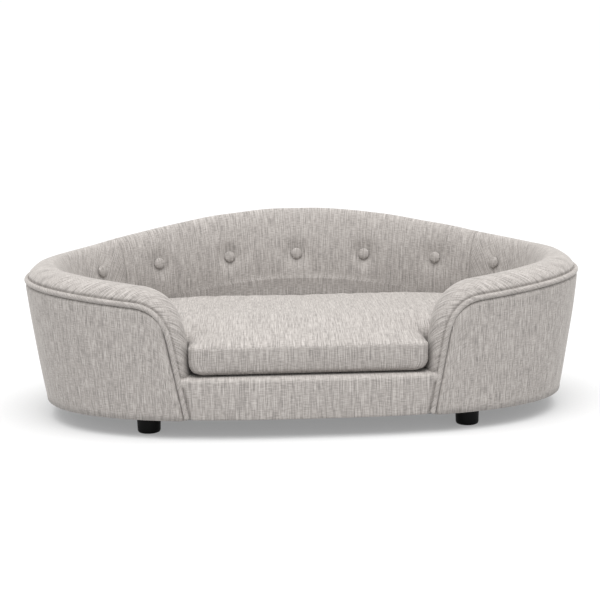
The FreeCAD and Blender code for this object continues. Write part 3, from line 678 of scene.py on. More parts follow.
@dataclass(frozen=True)
class WallShape:
    """The flared wall, in millimetres. Station -1 is the left wing's end, 0 the back, 1 the right end.

    Past 1 a station runs down the slanted front edge of the wing, and 2 is at its foot.
    """

    foot_level: float = 32.0
    rim_level: float = 250.0
    base_back: Oval = Oval(455.0, 277.0, 2.6)
    base_front: Oval = Oval(455.0, 307.0, 2.7)
    rim_back: Oval = Oval(485.5, 306.0, 2.0)
    rim_front: Oval = Oval(485.5, 298.0, 2.95)
    back_height: float = 300.0
    side_height: float = 241.5
    wing_height: float = 219.0
    back_curve: float = 3.15
    wing_curve: float = 1.9
    bend_width: float = 283.0
    bend_radius: float = 48.0
    bend_run_out: float = 1.2
    wing_foot_width: float = 198.5
    bend_station: float = 0.86

    def oval(self, level: float, front: bool) -> Oval:
        """The wall's outside at a level, in one half of the plan."""
        rise = (level - self.foot_level) / (self.rim_level - self.foot_level)
        low, high = (self.base_front, self.rim_front) if front else (self.base_back, self.rim_back)
        return Oval(low.width + (high.width - low.width) * rise, low.depth + (high.depth - low.depth) * rise,
                    low.shape + (high.shape - low.shape) * rise)

    def outside(self, angle: float, level: float) -> np.ndarray:
        """Point of the outside at an angle from the middle of the back and a level."""
        oval = self.oval(level, math.cos(angle) < 0)
        across = abs(math.sin(angle)) / oval.width
        along = abs(math.cos(angle)) / oval.depth
        radius = (across ** oval.shape + along ** oval.shape) ** (-1 / oval.shape)
        return np.array([radius * math.sin(angle), radius * math.cos(angle), level])

    def on_front(self, x: float, level: float) -> np.ndarray:
        """Point of the front face at a width and a level."""
        oval = self.oval(level, True)
        reach = (1 - (abs(x) / oval.width) ** oval.shape) ** (1 / oval.shape)
        return np.array([x, -oval.depth * reach, level])

    def inward(self, point: np.ndarray) -> np.ndarray:
        """Horizontal unit direction into the wall from a point of its outside."""
        oval = self.oval(point[2], point[1] < 0)
        power = oval.shape - 1
        across = -math.copysign((abs(point[0]) / oval.width) ** power / oval.width, point[0])
        along = -math.copysign((abs(point[1]) / oval.depth) ** power / oval.depth, point[1])
        return unit(np.array([across, along, 0.0]))

    def rim_turn(self, angle: float) -> float:
        """How far round the rim an angle is: 0 at the back, a right angle at the side."""
        x, y, _ = self.outside(angle, self.rim_level)
        oval = self.oval(self.rim_level, y < 0)
        power = oval.shape / 2
        turn = math.atan2((abs(x) / oval.width) ** power, (abs(y) / oval.depth) ** power)
        return math.pi - turn if y < 0 else turn

    def bend_angle(self) -> float:
        """Angle at which the rim starts to bend down."""
        return math.atan2(self.bend_width, self.on_front(self.bend_width, self.wing_height)[1])

    def rim_point(self, angle: float) -> np.ndarray:
        """Point of the rim line between the back and the bend."""
        turn = self.rim_turn(angle)
        side = math.pi / 2
        if turn <= side:
            gain = (self.back_height - self.side_height) * math.cos(turn) ** self.back_curve
            level = self.side_height + gain
        else:
            fall = (turn - side) / (self.rim_turn(self.bend_angle()) - side)
            level = self.side_height - (self.side_height - self.wing_height) * fall ** self.wing_curve
        return self.outside(angle, level)

    def bend(self, share: float) -> tuple[np.ndarray, np.ndarray]:
        """Point and outward direction, in front view, of the rim's curve into the slanted edge."""
        angle = self.bend_angle()
        start = self.rim_point(angle) * (1, 0, 1)
        before = self.rim_point(angle - 0.05)
        slope = (start[2] - before[2]) / (before[0] - start[0])
        middle = start + np.array([-1.0, 0.0, slope]) * self.bend_radius
        foot = np.array([self.wing_foot_width, 0.0, self.foot_level])
        end = middle + unit(foot - middle) * self.bend_radius * self.bend_run_out
        rest = 1 - share
        point = start * rest ** 2 + middle * (2 * share * rest) + end * share ** 2
        along = (middle - start) * rest + (end - middle) * share
        return point, unit(np.array([along[2], 0.0, -along[0]]))

    def place(self, station: float) -> Place:
        """Everything about one station of the rim, from -2 to 2."""
        size = min(abs(station), 1.0)
        share = (size - self.bend_station) / (1 - self.bend_station)
        angle = self.bend_angle()
        up = np.array([0.0, 0.0, 1.0])
        if share <= 0:
            angle *= size / self.bend_station
            rim = self.rim_point(angle)
            foot = self.outside(angle, self.foot_level)
            into, away = self.inward(rim), up
        else:
            point, outward = self.bend(share)
            rim = self.on_front(point[0], point[2])
            first = self.outside(angle, self.foot_level)[0]
            foot = self.on_front(first + (self.wing_foot_width - first) * share, self.foot_level)
            into = unit(self.inward(rim) * (1 - share) + np.array([0.0, share, 0.0]))
            away = unit(up * max(0.0, 1 - 2 * share) + outward)
        if abs(station) > 1:
            down = rim + (foot - rim) * (abs(station) - 1)
            rim = self.on_front(down[0], down[2])
        hand = np.array([math.copysign(1.0, station), 1.0, 1.0])
        return Place(foot * hand, rim * hand, into * hand, away * hand)

    def edge_station(self, level: float) -> float:
        """Station of a level on the slanted front edge."""
        end = self.place(1.0)
        return 1 + (end.rim[2] - level) / (end.rim[2] - end.foot[2])

    def edge_width(self, level: np.ndarray) -> np.ndarray:
        """Half width between the wings' slanted edges at a level."""
        end = self.place(1.0)
        return end.foot[0] + (end.rim[0] - end.foot[0]) * (level - end.foot[2]) / (end.rim[2] - end.foot[2])


def spaced(wall: WallShape, first: float, last: float, step: float) -> np.ndarray:
    """Stations from first to last, evenly spaced along the rim by about a step, in millimetres."""
    rough = np.linspace(first, last, 200)
    run = run_length(np.array([wall.place(station).rim for station in rough]))
    count = max(2, round(run[-1] / step))
    return np.interp(np.linspace(0, run[-1], count + 1), run, rough)


# ---- outside cover ----

@dataclass
class OutsideCover:
    """Cloth over thin wadding round the outside, from under the base up to the welt."""

    wall: WallShape
    linen: Material
    step: float = 5.0
    fine_from: float = 0.95
    fine_step: float = 1.8
    rows: int = 52
    swell: float = 2.6
    swell_fade: float = 16.0
    waver: float = 0.9
    hem_radius: float = 5.0
    tuck: float = 5.6
    tuck_height: float = 2.6
    welt_width: float = 4.4
    thickness: float = 1.2

    def build(self) -> Piece:
        """Make the cover as one sheet and lay it on the bed."""
        edge = spaced(self.wall, self.fine_from, 1.0, self.fine_step)
        middle = spaced(self.wall, -self.fine_from, self.fine_from, self.step)
        stations = np.concatenate([-edge[::-1], middle[1:-1], edge])
        places = [self.wall.place(station) for station in stations]
        rise = 1 - (1 - np.linspace(0, 1, self.rows)) ** 1.3
        grid = np.array([self.column(place, rise) for place in places])
        run = run_length(np.array([(place.foot + place.rim) / 2 for place in places]))
        height = run_length(grid[len(grid) // 2])
        cloth = np.stack(np.meshgrid(run, height, indexing="ij"), axis=-1)
        normals = grid_normals(grid)
        grid = grid + normals * (wander(grid, 85, 3.0) * self.waver * self.fade(rise))[..., None]
        back = placed(grid[len(grid) // 2, self.rows // 2])
        return make_sheet("outside_upholstery", grid, cloth, self.linen, back, self.thickness)

    def fade(self, rise: np.ndarray) -> np.ndarray:
        """Share of the free swelling that each row may have: none at the hem and at the welt."""
        return (smooth_step(rise / 0.2) * smooth_step((1 - rise) / 0.15))[None, :]

    def column(self, place: Place, rise: np.ndarray) -> np.ndarray:
        """One upright line of the cover, turned under at the hem and tucked in under the welt."""
        line = place.foot + (place.rim - place.foot) * rise[:, None]
        total = place.rim[2] - place.foot[2]
        level = rise * total
        slant = place.into.dot(self.wall.inward(place.foot))
        crown = self.swell * np.sin(np.pi * rise) ** 0.6
        beside = np.where(line[:, 1] < 0, np.abs(line[:, 0]) - self.wall.edge_width(line[:, 2]), np.inf)
        beside = np.minimum(np.maximum(beside, 0.0), total - level)
        into = -crown * smooth_step(beside / self.swell_fade)
        into += self.tuck * bell(np.maximum(beside - self.welt_width, 0), self.tuck_height)
        turn = np.clip(1 - level / self.hem_radius, 0, 1)
        into += self.hem_radius * (1 - np.sqrt(1 - turn ** 2))
        line = line + place.into * (into / max(slant, 0.6))[:, None]
        line[:, 2] -= 1.5 * bell(total - level, 2.0)
        line[0] += place.into * 1.5 + np.array([0.0, 0.0, 3.0])
        line[1] = line[1] * (1, 1, 0) + np.array([0, 0, self.wall.foot_level + 0.2])
        return line


# ---- inside covers with the roll ----

@dataclass(frozen=True)
class ButtonSpot:
    """Where a button sits: its node's name, its middle, the way it faces, and whether it is an end one."""

    name: str
    centre: np.ndarray
    face: np.ndarray
    outermost: bool


@dataclass
class InsideCover:
    """Cloth over the padded roll and down the inside of the wall, in three sewn pieces."""

    wall: WallShape
    linen: Material
    buttons: list[ButtonSpot]
    step: float = 4.0
    arch_rows: int = 40
    welt_crease: float = 2.6
    crease_height: float = 4.2
    crease_width: float = 2.3
    wall_rows: int = 46
    seam_angle: float = 62.0
    roll_start: float = 3.4
    roll_reach: float = 79.4
    roll_height: float = 26.4
    roll_end_height: float = 19.0
    roll_end_level: float = 101.0
    inside_inset: float = 70.3
    join_depth: float = 34.0
    seat_level: float = 99.9
    bowl_level: float = 190.0
    crown: float = 3.0
    crown_from: float = 165.0
    waver: float = 1.1
    soft_drop: float = 104.0
    soft_until: float = 0.55
    soft_fade: float = 0.31
    hidden_below: float = 138.0
    hidden_fade: float = 24.0
    seam_depth: float = 0.9
    seam_width: float = 1.7
    ridge: float = 0.3
    ridge_away: float = 8.0
    gather: float = 0.3
    pucker: float = 0.25
    puckers: int = 6
    button_seat: float = 4.8
    pull_start: float = 8.0
    pull_end: float = 80.0
    pull_width: float = 4.5
    mitre_drop: float = 11.0
    mitre_under: float = 12.0
    mitre_level: float = 130.0
    mitre_fade: float = 30.0
    arm_grain: float = 38.0
    thickness: float = 1.2

    def seam_station(self) -> float:
        """Station of the seam between the back piece and an arm piece."""
        return math.radians(self.seam_angle) / self.wall.bend_angle() * self.wall.bend_station

    def rise_at(self, station: float) -> float:
        """Height of the roll, which gets flatter down the wing's end."""
        end = self.wall.edge_station(self.roll_end_level)
        share = max(0.0, (abs(station) - self.wall.bend_station) / (end - self.wall.bend_station))
        return self.roll_height + (self.roll_end_height - self.roll_height) * share

    def drop_at(self, station: float) -> float:
        """How far below the rim the roll runs out: far down at the back, not at all at the wing."""
        return self.soft_drop * float(smooth_step(np.array((self.soft_until + self.soft_fade - abs(station))
                                                            / self.soft_fade)))

    def arch(self, station: float) -> np.ndarray:
        """Line of cloth over the roll, from the welt to the roll's inner edge."""
        place = self.wall.place(station)
        middle = (self.roll_start + self.roll_reach) / 2
        half = (self.roll_reach - self.roll_start) / 2
        turn = np.linspace(0, math.pi, self.arch_rows + 1)
        across = middle - half * np.cos(turn)
        drop = np.where(turn > math.pi / 2, self.drop_at(station), 0.0)
        lift = (self.rise_at(station) + drop) * np.sin(turn) - drop
        across += self.welt_crease * bell(lift - self.crease_height, self.crease_width) * (turn < math.pi / 2)
        across = across + self.lean_of(place) * np.maximum(-lift, 0.0) * (place.away[2] > 0.999)
        line = place.rim + place.into * across[:, None] + place.away * lift[:, None]
        line[0] = place.rim + place.into * 0.6 - place.away * 1.6
        return line

    def lean_of(self, place: Place) -> float:
        """How far the wall steps in for each millimetre down."""
        return float((place.foot - place.rim).dot(place.into) / (place.rim[2] - place.foot[2]))

    def inset(self, points: np.ndarray, rim_level: float, start: float, soft: float) -> np.ndarray:
        """Inset of the inside face: it runs out to the roll near the rim and near the wing's edge."""
        below = np.maximum(start - points[:, 2], 0.0)
        edge = self.wall.edge_width(points[:, 2])
        beside = np.where(points[:, 1] < 0, np.maximum(np.abs(points[:, 0]) - edge, 0.0), FAR)
        near = np.minimum(below, beside)
        rise = np.clip((points[:, 2] - self.crown_from) / max(rim_level - self.crown_from, 1.0), 0, 1)
        swell = self.crown * np.sin(np.pi * rise) ** 2
        shown = soft * smooth_step((points[:, 2] - self.hidden_below) / self.hidden_fade)
        return self.inside_inset + swell + (self.roll_reach - self.inside_inset) * np.maximum(
            bell(near, self.join_depth), shown)

    def down_wall(self, station: float) -> np.ndarray:
        """Line of cloth down the inside of the wall, from the roll's inner edge to the seat."""
        place = self.wall.place(station)
        start = place.rim[2] - self.drop_at(station)
        level = np.linspace(start, self.seat_level, self.wall_rows + 1)[1:]
        share = (level - place.foot[2]) / (place.rim[2] - place.foot[2])
        outside = place.foot + (place.rim - place.foot) * share[:, None]
        if abs(station) > self.wall.bend_station:
            for point in outside:
                point[1] = self.wall.on_front(point[0], point[2])[1]
        slant = np.array([place.into.dot(self.wall.inward(point)) for point in outside])
        flat = smooth_step((abs(station) - self.wall.bend_station) / (1 - self.wall.bend_station))
        soft = self.drop_at(station) / self.soft_drop
        inset = self.inset(outside, place.rim[2], start, soft) / (slant + (1 - slant) * flat)
        return outside + place.into * inset[:, None]

    def build(self) -> list[Piece]:
        """Make the back piece and the two arm pieces."""
        seam = self.seam_station()
        pieces = [self.piece("inside_back_upholstery", -seam, seam)]
        for side, name in ((-1, "left"), (1, "right")):
            pieces.append(self.piece(f"inside_arm_{name}_upholstery", side * seam, side * 1.0))
        return pieces

    def piece(self, name: str, first: float, last: float) -> Piece:
        """Make one sewn piece between two stations, with the wing's end where it has one."""
        stations = spaced(self.wall, first, last, self.step)
        lines = [np.concatenate([self.arch(station), self.down_wall(station)]) for station in stations]
        grid = np.array(lines)
        start = self.rim_run(first)
        rims = np.array([self.wall.place(station).rim for station in stations])
        run = start + run_length(rims) * np.sign(last - first)
        height = np.array([run_length(line) for line in grid])
        cloth = np.stack([np.broadcast_to(run[:, None], height.shape), height], axis=-1)
        grid = self.worked(grid, cloth)
        points, flat, faces = grid.reshape(-1, 3), cloth.reshape(-1, 2), grid_faces(*grid.shape[:2])
        if abs(last) == 1.0:
            strip, strip_cloth = self.wing_end(last, run[-1])
            strip = self.worked(strip, strip_cloth)
            strip[0] = grid[-1, :self.arch_rows + 1]
            strip[1:-1, -1] = grid[-1, self.arch_rows + 1:]
            faces += grid_faces(*strip.shape[:2], start=len(points))
            points = np.concatenate([points, strip.reshape(-1, 3)])
            flat = np.concatenate([flat, strip_cloth.reshape(-1, 2)])
            flat = self.on_the_cross(flat)
        piece = make_piece(name, points, faces, self.linen, flat, weld=True)
        thicken(piece, self.thickness)
        return piece

    def on_the_cross(self, flat: np.ndarray) -> np.ndarray:
        """Turn an arm piece's places on the cloth, because it is cut at a slant to the yarns."""
        slant = math.radians(self.arm_grain)
        away, up = np.abs(flat[:, 0]), flat[:, 1]
        across = away * math.cos(slant) - up * math.sin(slant)
        along = away * math.sin(slant) + up * math.cos(slant)
        return np.stack([across, along], axis=-1)

    def rim_run(self, station: float) -> float:
        """Distance along the rim from the middle of the back to a station, negative on the left."""
        line = np.array([self.wall.place(share * station).rim for share in np.linspace(0, 1, 60)])
        return math.copysign(run_length(line)[-1], station)

    def wing_end(self, side: float, run: float) -> tuple[np.ndarray, np.ndarray]:
        """Roll down the slanted edge, mitred at its foot where it meets the apron."""
        top = self.wall.place(1.0).rim[2]
        levels = np.linspace(top, self.seat_level, self.wall_rows + 1)
        levels = np.append(levels, self.seat_level - self.mitre_under)
        lines = []
        for level in levels:
            line = self.arch(math.copysign(self.wall.edge_station(level), side))
            turn = np.linspace(0, math.pi, len(line))
            drop = self.mitre_drop * smooth_step((self.mitre_level - level) / self.mitre_fade)
            line[:, 2] -= drop * (0.5 + 0.5 * np.cos(turn))
            lines.append(line)
        grid = np.array(lines)
        height = np.array([run_length(line) for line in grid])
        along = run + side * run_length(grid[:, 0])
        return grid, np.stack([np.broadcast_to(along[:, None], height.shape), height], axis=-1)

    def worked(self, grid: np.ndarray, cloth: np.ndarray) -> np.ndarray:
        """Sink the seams and button dimples into the padding and add its soft unevenness."""
        normals = grid_normals(grid)
        centre = np.array([0.0, 0.0, self.bowl_level])
        middle = tuple(np.array(grid.shape[:2]) // 2)
        if normals[middle].dot(centre - grid[middle]) < 0:
            normals = -normals
        free = smooth_step(cloth[..., 1] / 25) * smooth_step((grid[..., 2] - 104) / 30)
        push = wander(grid, 70, 11.0) * self.waver * free
        gathers = wander(grid * (1, 1, 0.4), 11, 5.0)
        push += gathers * self.gather * bell(cloth[..., 1] - 9, 11) * smooth_step(cloth[..., 1] / 3)
        seam = self.rim_run(self.seam_station())
        for side in (-1, 1):
            push -= self.seam_depth * bell(cloth[..., 0] - side * seam, self.seam_width)
            push += self.ridge * bell(np.abs(cloth[..., 0] - side * seam) - self.ridge_away, 4)
        for button in self.buttons:
            push += self.dimple(button, grid, cloth)
        return grid + normals * push[..., None]

    def dimple(self, button: ButtonSpot, grid: np.ndarray, cloth: np.ndarray) -> np.ndarray:
        """Depth of the cloth round one button: a hollow with small radial puckers."""
        away = np.linalg.norm(grid - button.centre, axis=-1)
        nearest = np.unravel_index(np.argmin(away), away.shape)
        if away[nearest] > 60:
            return np.zeros(away.shape)
        across = cloth[..., 0] - cloth[nearest][0]
        up = cloth[nearest][1] - cloth[..., 1]
        angle = np.arctan2(up, across)
        depth = np.clip((grid[nearest] - button.centre).dot(button.face) + self.button_seat, 1.0, 9.0)
        push = -depth * bell(np.maximum(away - 8, 0), 15)
        push += self.pucker * np.cos(self.puckers * angle + 0.6) * bell(away - 17, 8)
        if button.outermost:
            inwards = -math.copysign(1.0, button.centre[0])
            for lean, size in ((-0.25, 0.8), (0.3, 1.5), (0.75, 1.1), (1.15, 0.7)):
                ray = np.array([math.sin(lean) * inwards, math.cos(lean)])
                along = across * ray[0] + up * ray[1]
                beside = np.abs(across * ray[1] - up * ray[0])
                line = size * bell(beside, self.pull_width) * smooth_step((along - self.pull_start) / 14)
                push -= line * smooth_step((self.pull_end - along) / 50)
        return push


# ---- welt ----

@dataclass
class Welt:
    """Fabric-covered piping along the rim and down both slanted edges."""

    wall: WallShape
    linen: Material
    radius: float = 4.3
    stand_off: float = -1.9
    end_level: float = 34.0
    step: float = 3.0
    sides: int = 16
    pucker: float = 0.18

    def build(self) -> Piece:
        """Make the piping as one closed tube."""
        end = self.wall.edge_station(self.end_level)
        stations = spaced(self.wall, -end, end, self.step)
        turns = np.linspace(0, 2 * math.pi, self.sides, endpoint=False)
        rings = []
        for number, station in enumerate(stations):
            place = self.wall.place(station)
            centre = place.rim - place.into * self.stand_off
            radius = self.radius + self.pucker * math.sin(number * 2.1) * math.sin(number * 0.7)
            spokes = np.cos(turns)[:, None] * place.into + np.sin(turns)[:, None] * place.away
            rings.append(centre + spokes * radius)
        grid = np.array(rings)
        count, sides = grid.shape[:2]
        faces = []
        for ring in range(count - 1):
            faces += between_rings(ring, ring + 1, sides)
        faces.append(tuple(range(sides)))
        faces.append(tuple((count - 1) * sides + side for side in reversed(range(sides))))
        run = run_length(grid[:, 0])
        cloth = np.stack([np.repeat(run, sides), np.tile(turns * self.radius, count)], axis=-1)
        bias = np.stack([cloth[:, 0] + cloth[:, 1], cloth[:, 0] - cloth[:, 1]], axis=-1)
        return make_piece("welt_piping", grid.reshape(-1, 3), faces, self.linen, bias)


# ---- apron ----

@dataclass
class Apron:
    """Padded cloth over the front rail between the two wings."""

    wall: WallShape
    linen: Material
    top: float = 100.0
    columns: int = 150
    edge_radius: float = 7.0
    depth_back: float = 64.0
    swell: float = 1.6
    hem_radius: float = 4.0
    tuck: float = 4.6
    tuck_width: float = 2.6
    welt_width: float = 4.0
    mitre: float = 1.0
    mitre_width: float = 26.0
    side_gap: float = 1.5
    thickness: float = 1.2

    def build(self) -> Piece:
        """Make the apron's cloth from under the base over the rail's top edge."""
        crowding = 1.35
        shares = np.sin(np.linspace(-1, 1, self.columns) * crowding) / math.sin(crowding)
        grid = np.array([self.column(share) for share in shares])
        height = np.array([run_length(line) for line in grid])
        cloth = np.stack([grid[..., 0], height], axis=-1)
        normals = grid_normals(grid)
        fade = smooth_step(height / 14) * smooth_step((self.top - grid[..., 2]) / 20)
        grid = grid + normals * (wander(grid, 60, 21.0) * 0.5 * fade + self.pulls(grid))[..., None]
        front = np.array([0.0, -1.0, 0.0])
        return make_sheet("apron_upholstery", grid, cloth, self.linen, front, self.thickness)

    def top_level(self, x: float) -> float:
        """Level of the apron's top edge, which dips towards the welt to make the mitre."""
        edge = float(self.wall.edge_width(self.top))
        dip = float(smooth_step(np.array((abs(x) - edge + self.mitre_width) / self.mitre_width)))
        return self.top - self.mitre * dip

    def column(self, share: float) -> np.ndarray:
        """One line of cloth from the hem up the front and back over the top."""
        base = self.wall.foot_level
        hem = np.linspace(0, self.hem_radius, 5)
        levels = base + np.concatenate([hem, np.linspace(self.hem_radius + 3, 60, 22)])
        x_top = share * (float(self.wall.edge_width(self.top)) - self.side_gap)
        top = self.top_level(x_top)
        levels = np.minimum(levels, top - self.edge_radius)
        line = []
        for level in levels:
            x = share * (float(self.wall.edge_width(level)) - self.side_gap)
            point = self.wall.on_front(x, level)
            rise = (level - base) / (top - base)
            turn = max(0.0, 1 - (level - base) / self.hem_radius)
            beside = (1 - abs(share)) * float(self.wall.edge_width(level))
            under = self.hem_radius * (1 - math.sqrt(1 - turn ** 2))
            point[1] += under - self.swell * math.sin(math.pi * rise)
            shown = float(smooth_step(np.array((top - 8 - level) / 10)))
            held = math.exp(-(max(beside - self.welt_width, 0.0) / self.tuck_width) ** 2)
            point[1] += shown * self.tuck * held
            line.append(point)
        start = line[-1]
        for turn in np.linspace(0, math.pi / 2, 8)[1:]:
            back, up = self.edge_radius * (1 - math.cos(turn)), self.edge_radius * math.sin(turn)
            line.append(start + np.array([0.0, back, up]))
        rear = line[-1]
        for back in np.linspace(0, self.depth_back, 9)[1:]:
            line.append(rear + np.array([0.0, back, 0.0]))
        line.insert(0, line[0] + np.array([0.0, 2.0, 3.0]))
        return np.array(line)

    def pulls(self, grid: np.ndarray) -> np.ndarray:
        """Short pull lines that fan out below the cushion's lower front corners."""
        push = np.zeros(grid.shape[:2])
        edge = float(self.wall.edge_width(self.top))
        for side in (-1, 1):
            corner = np.array([side * (edge - 24), self.top - 2])
            for lean, size, length in ((0.15, 0.9, 26.0), (0.55, 1.2, 30.0), (0.95, 0.8, 22.0)):
                ray = np.array([side * math.cos(lean), -math.sin(lean)])
                across, up = grid[..., 0] - corner[0], grid[..., 2] - corner[1]
                along = across * ray[0] + up * ray[1]
                beside = across * ray[1] - up * ray[0]
                push += size * bell(beside, 2.4) * smooth_step(along / 6) * smooth_step((length - along) / 14)
        return push


# ---- buttons ----

@dataclass
class Buttons:
    """Cloth-covered buttons that pull the inside back in."""

    linen: Material
    spots: list[ButtonSpot]
    radius: float = 10.6
    height: float = 3.8
    rings: int = 14
    sides: int = 36
    sink: float = 1.6
    pleat: float = 0.22
    pleats: int = 12

    def build(self) -> list[Piece]:
        """Make every button."""
        return [self.button(spot) for spot in self.spots]

    def button(self, spot: ButtonSpot) -> Piece:
        """One domed button with small pleats where the cloth goes round its edge."""
        face = spot.face
        side = unit(np.cross(np.array([0.0, 0.0, 1.0]), face))
        up = np.cross(face, side)
        profile = []
        for ring in range(self.rings + 1):
            turn = math.pi * 0.56 * ring / self.rings
            profile.append((self.radius * math.sin(turn), self.height * math.cos(turn)))
        points, cloth, faces = [], [], []
        base = spot.centre - face * self.sink
        for ring, (radius, height) in enumerate(profile):
            for number in range(self.sides):
                angle = 2 * math.pi * number / self.sides
                pleat = self.pleat * (ring / self.rings) ** 3 * math.cos(self.pleats * angle)
                flat = side * math.cos(angle) + up * math.sin(angle)
                points.append(base + flat * (radius + pleat) + face * height)
                cloth.append((radius * math.cos(angle) + spot.centre[0], radius * math.sin(angle)))
        for ring in range(self.rings):
            faces += between_rings(ring, ring + 1, self.sides)
        faces.append(tuple(self.rings * self.sides + number for number in range(self.sides)))
        points, cloth = np.array(points), np.array(cloth)
        return make_piece(f"{spot.name}_covered", points, faces, self.linen, cloth, weld=True)


# ---- cushion ----

def plan_tree(loop: np.ndarray) -> kdtree.KDTree:
    """Search tree over the points of a plan."""
    tree = kdtree.KDTree(len(loop))
    for number, point in enumerate(loop):
        tree.insert(Vector((*point, 0.0)), number)
    tree.balance()
    return tree


@dataclass
class Cushion:
    """Loose boxed cushion: a crowned top, a band round the side and a flat bottom, sewn together."""

    linen: Material
    half_width: float = 393.5
    back: float = 204.0
    front: float = 216.5
    back_shape: float = 2.26
    front_shape: float = 3.1
    tongue: float = 197.5
    tongue_front: float = 284.6
    tongue_corner: float = 8.0
    bottom: float = 100.6
    bottom_seam: float = 107.0
    top_seam: float = 146.5
    shrink: float = 3.0
    spacing: float = 7.5
    band_rows: int = 9
    front_rise: float = 5.0
    back_rise: float = 22.0
    rise_before: float = 50.0
    rise_run: float = 130.0
    crown: float = 5.0
    corner_radius: float = 22.0
    top_cap: float = 7.0
    band_cap: float = 3.4
    pressure: float = 4.0
    frames: int = 20

    def outline(self) -> np.ndarray:
        """Closed plan of the cushion, in even steps, going round from the middle of the back."""
        width = self.half_width - self.shrink
        side = self.tongue - self.shrink
        share = (1 - (side / width) ** self.front_shape) ** (1 / self.front_shape)
        first = math.atan2(side, -(self.front - self.shrink) * share)
        half = []
        for angle in np.linspace(0, first, 300):
            ahead = math.cos(angle) < 0
            depth, shape = (self.front, self.front_shape) if ahead else (self.back, self.back_shape)
            across = abs(math.sin(angle)) / width
            along = abs(math.cos(angle)) / (depth - self.shrink)
            radius = (across ** shape + along ** shape) ** (-1 / shape)
            half.append((radius * math.sin(angle), radius * math.cos(angle)))
        end = -self.tongue_front + self.shrink
        corner = self.tongue_corner
        for turn in np.linspace(0, math.pi / 2, 12):
            half.append((side - corner + corner * math.cos(turn), end + corner - corner * math.sin(turn)))
        half.append((0.0, end))
        line = np.array(half + [(-x, y) for x, y in reversed(half[1:-1])] + half[:1])
        run = run_length(line)
        count = round(run[-1] / self.spacing)
        even = np.linspace(0, run[-1], count, endpoint=False)
        return np.stack([np.interp(even, run, line[:, axis]) for axis in (0, 1)], axis=-1)

    def panel(self, loop: np.ndarray) -> tuple[np.ndarray, list]:
        """Triangles that fill the plan evenly; the loop's own points come first."""
        spots = [Vector(point) for point in loop]
        tree = plan_tree(loop)
        inner = []
        rows = np.arange(loop[:, 1].min(), loop[:, 1].max(), self.spacing * math.sqrt(3) / 2)
        for number, y in enumerate(rows):
            for x in np.arange(-self.half_width, self.half_width, self.spacing):
                spot = Vector((x + (number % 2) * self.spacing / 2, y))
                if tree.find(spot.to_3d())[2] > 0.6 * self.spacing and self.inside(spot, loop):
                    inner.append(spot)
        made = geometry.delaunay_2d_cdt(spots + inner, [], [list(range(len(spots)))], 1, 1e-6)
        order = {old: new for new, olds in enumerate(made[3]) for old in olds}
        points = np.zeros((len(made[0]), 2))
        lookup = {}
        for old in range(len(spots) + len(inner)):
            lookup[order[old]] = old
            points[old] = made[0][order[old]]
        return points, [tuple(lookup[corner] for corner in face) for face in made[2]]

    def inside(self, spot: Vector, loop: np.ndarray) -> bool:
        """Whether a point lies inside the closed plan."""
        x, y = loop[:, 0], loop[:, 1]
        after_x, after_y = np.roll(x, -1), np.roll(y, -1)
        crosses = (y > spot.y) != (after_y > spot.y)
        with np.errstate(divide="ignore", invalid="ignore"):
            at = (after_x - x) * (spot.y - y) / (after_y - y) + x
        return bool(np.sum(crosses & (spot.x < at)) % 2)

    def build(self) -> Piece:
        """Make the sewn cover, blow it up with the cloth simulation and lay it on the deck."""
        loop = self.outline()
        plan, triangles = self.panel(loop)
        rim = len(loop)
        edge = self.edge_distance(plan, loop)
        far_back = smooth_step((plan[:, 1] + self.front + self.rise_before) / self.rise_run)
        rise = self.front_rise + (self.back_rise - self.front_rise) * far_back
        top_z = self.top_seam + rise * (1 - np.exp(-edge / 7)) + self.crown * (1 - np.exp(-edge / 75))
        top = np.column_stack([plan, top_z])
        low_z = self.bottom_seam - (self.bottom_seam - self.bottom) * (1 - np.exp(-edge / 5))
        low = np.column_stack([plan, low_z])
        levels = np.linspace(self.top_seam, self.bottom_seam, self.band_rows + 1)[1:-1]
        band = [np.column_stack([loop, np.full(rim, level)]) for level in levels]
        points = np.concatenate([top, *band, low])
        rings = [np.arange(rim)]
        rings += [len(top) + number * rim + np.arange(rim) for number in range(len(levels))]
        rings.append(len(top) + len(levels) * rim + np.arange(rim))
        faces = list(triangles)
        for upper, lower in zip(rings, rings[1:]):
            for number in range(rim):
                after = (number + 1) % rim
                faces.append((upper[number], upper[after], lower[after], lower[number]))
        first_low = len(points) - len(low)
        faces += [tuple(first_low + corner for corner in reversed(face)) for face in triangles]
        cloth = self.flat_places(points, faces, len(triangles), rings, loop)
        faces = [tuple(int(corner) for corner in face) for face in faces]
        piece = make_piece("cushion_upholstery", points, faces, self.linen, cloth)
        held = np.concatenate([rings[0], rings[-1], np.arange(first_low, len(points))])
        self.inflate(piece, held, len(top))
        self.finish_shape(piece)
        return piece

    def edge_distance(self, plan: np.ndarray, loop: np.ndarray) -> np.ndarray:
        """Distance of every point of a panel from its sewn edge."""
        tree = plan_tree(loop)
        reach = np.array([tree.find(Vector((*point, 0.0)))[2] for point in plan])
        reach[:len(loop)] = 0.0
        return reach

    def flat_places(self, points: np.ndarray, faces: list, panels: int, rings: list,
                    loop: np.ndarray) -> np.ndarray:
        """Place of every face corner on the flat cloth: the panels in plan, the band along its run."""
        run = run_length(np.concatenate([loop, loop[:1]]))
        along = {}
        for ring in rings:
            for number, corner in enumerate(ring):
                along[int(corner)] = run[number]
        places = []
        last = len(faces) - panels
        for number, face in enumerate(faces):
            if panels <= number < last:
                here = [along[int(corner)] for corner in face]
                wrap = run[-1] if max(here) - min(here) > run[-1] / 2 else 0.0
                for corner, spot in zip(face, here):
                    places.append((spot + (wrap if spot < run[-1] / 2 else 0.0), points[int(corner)][2]))
                continue
            places += [tuple(points[int(corner)][:2]) for corner in face]
        return np.array(places)

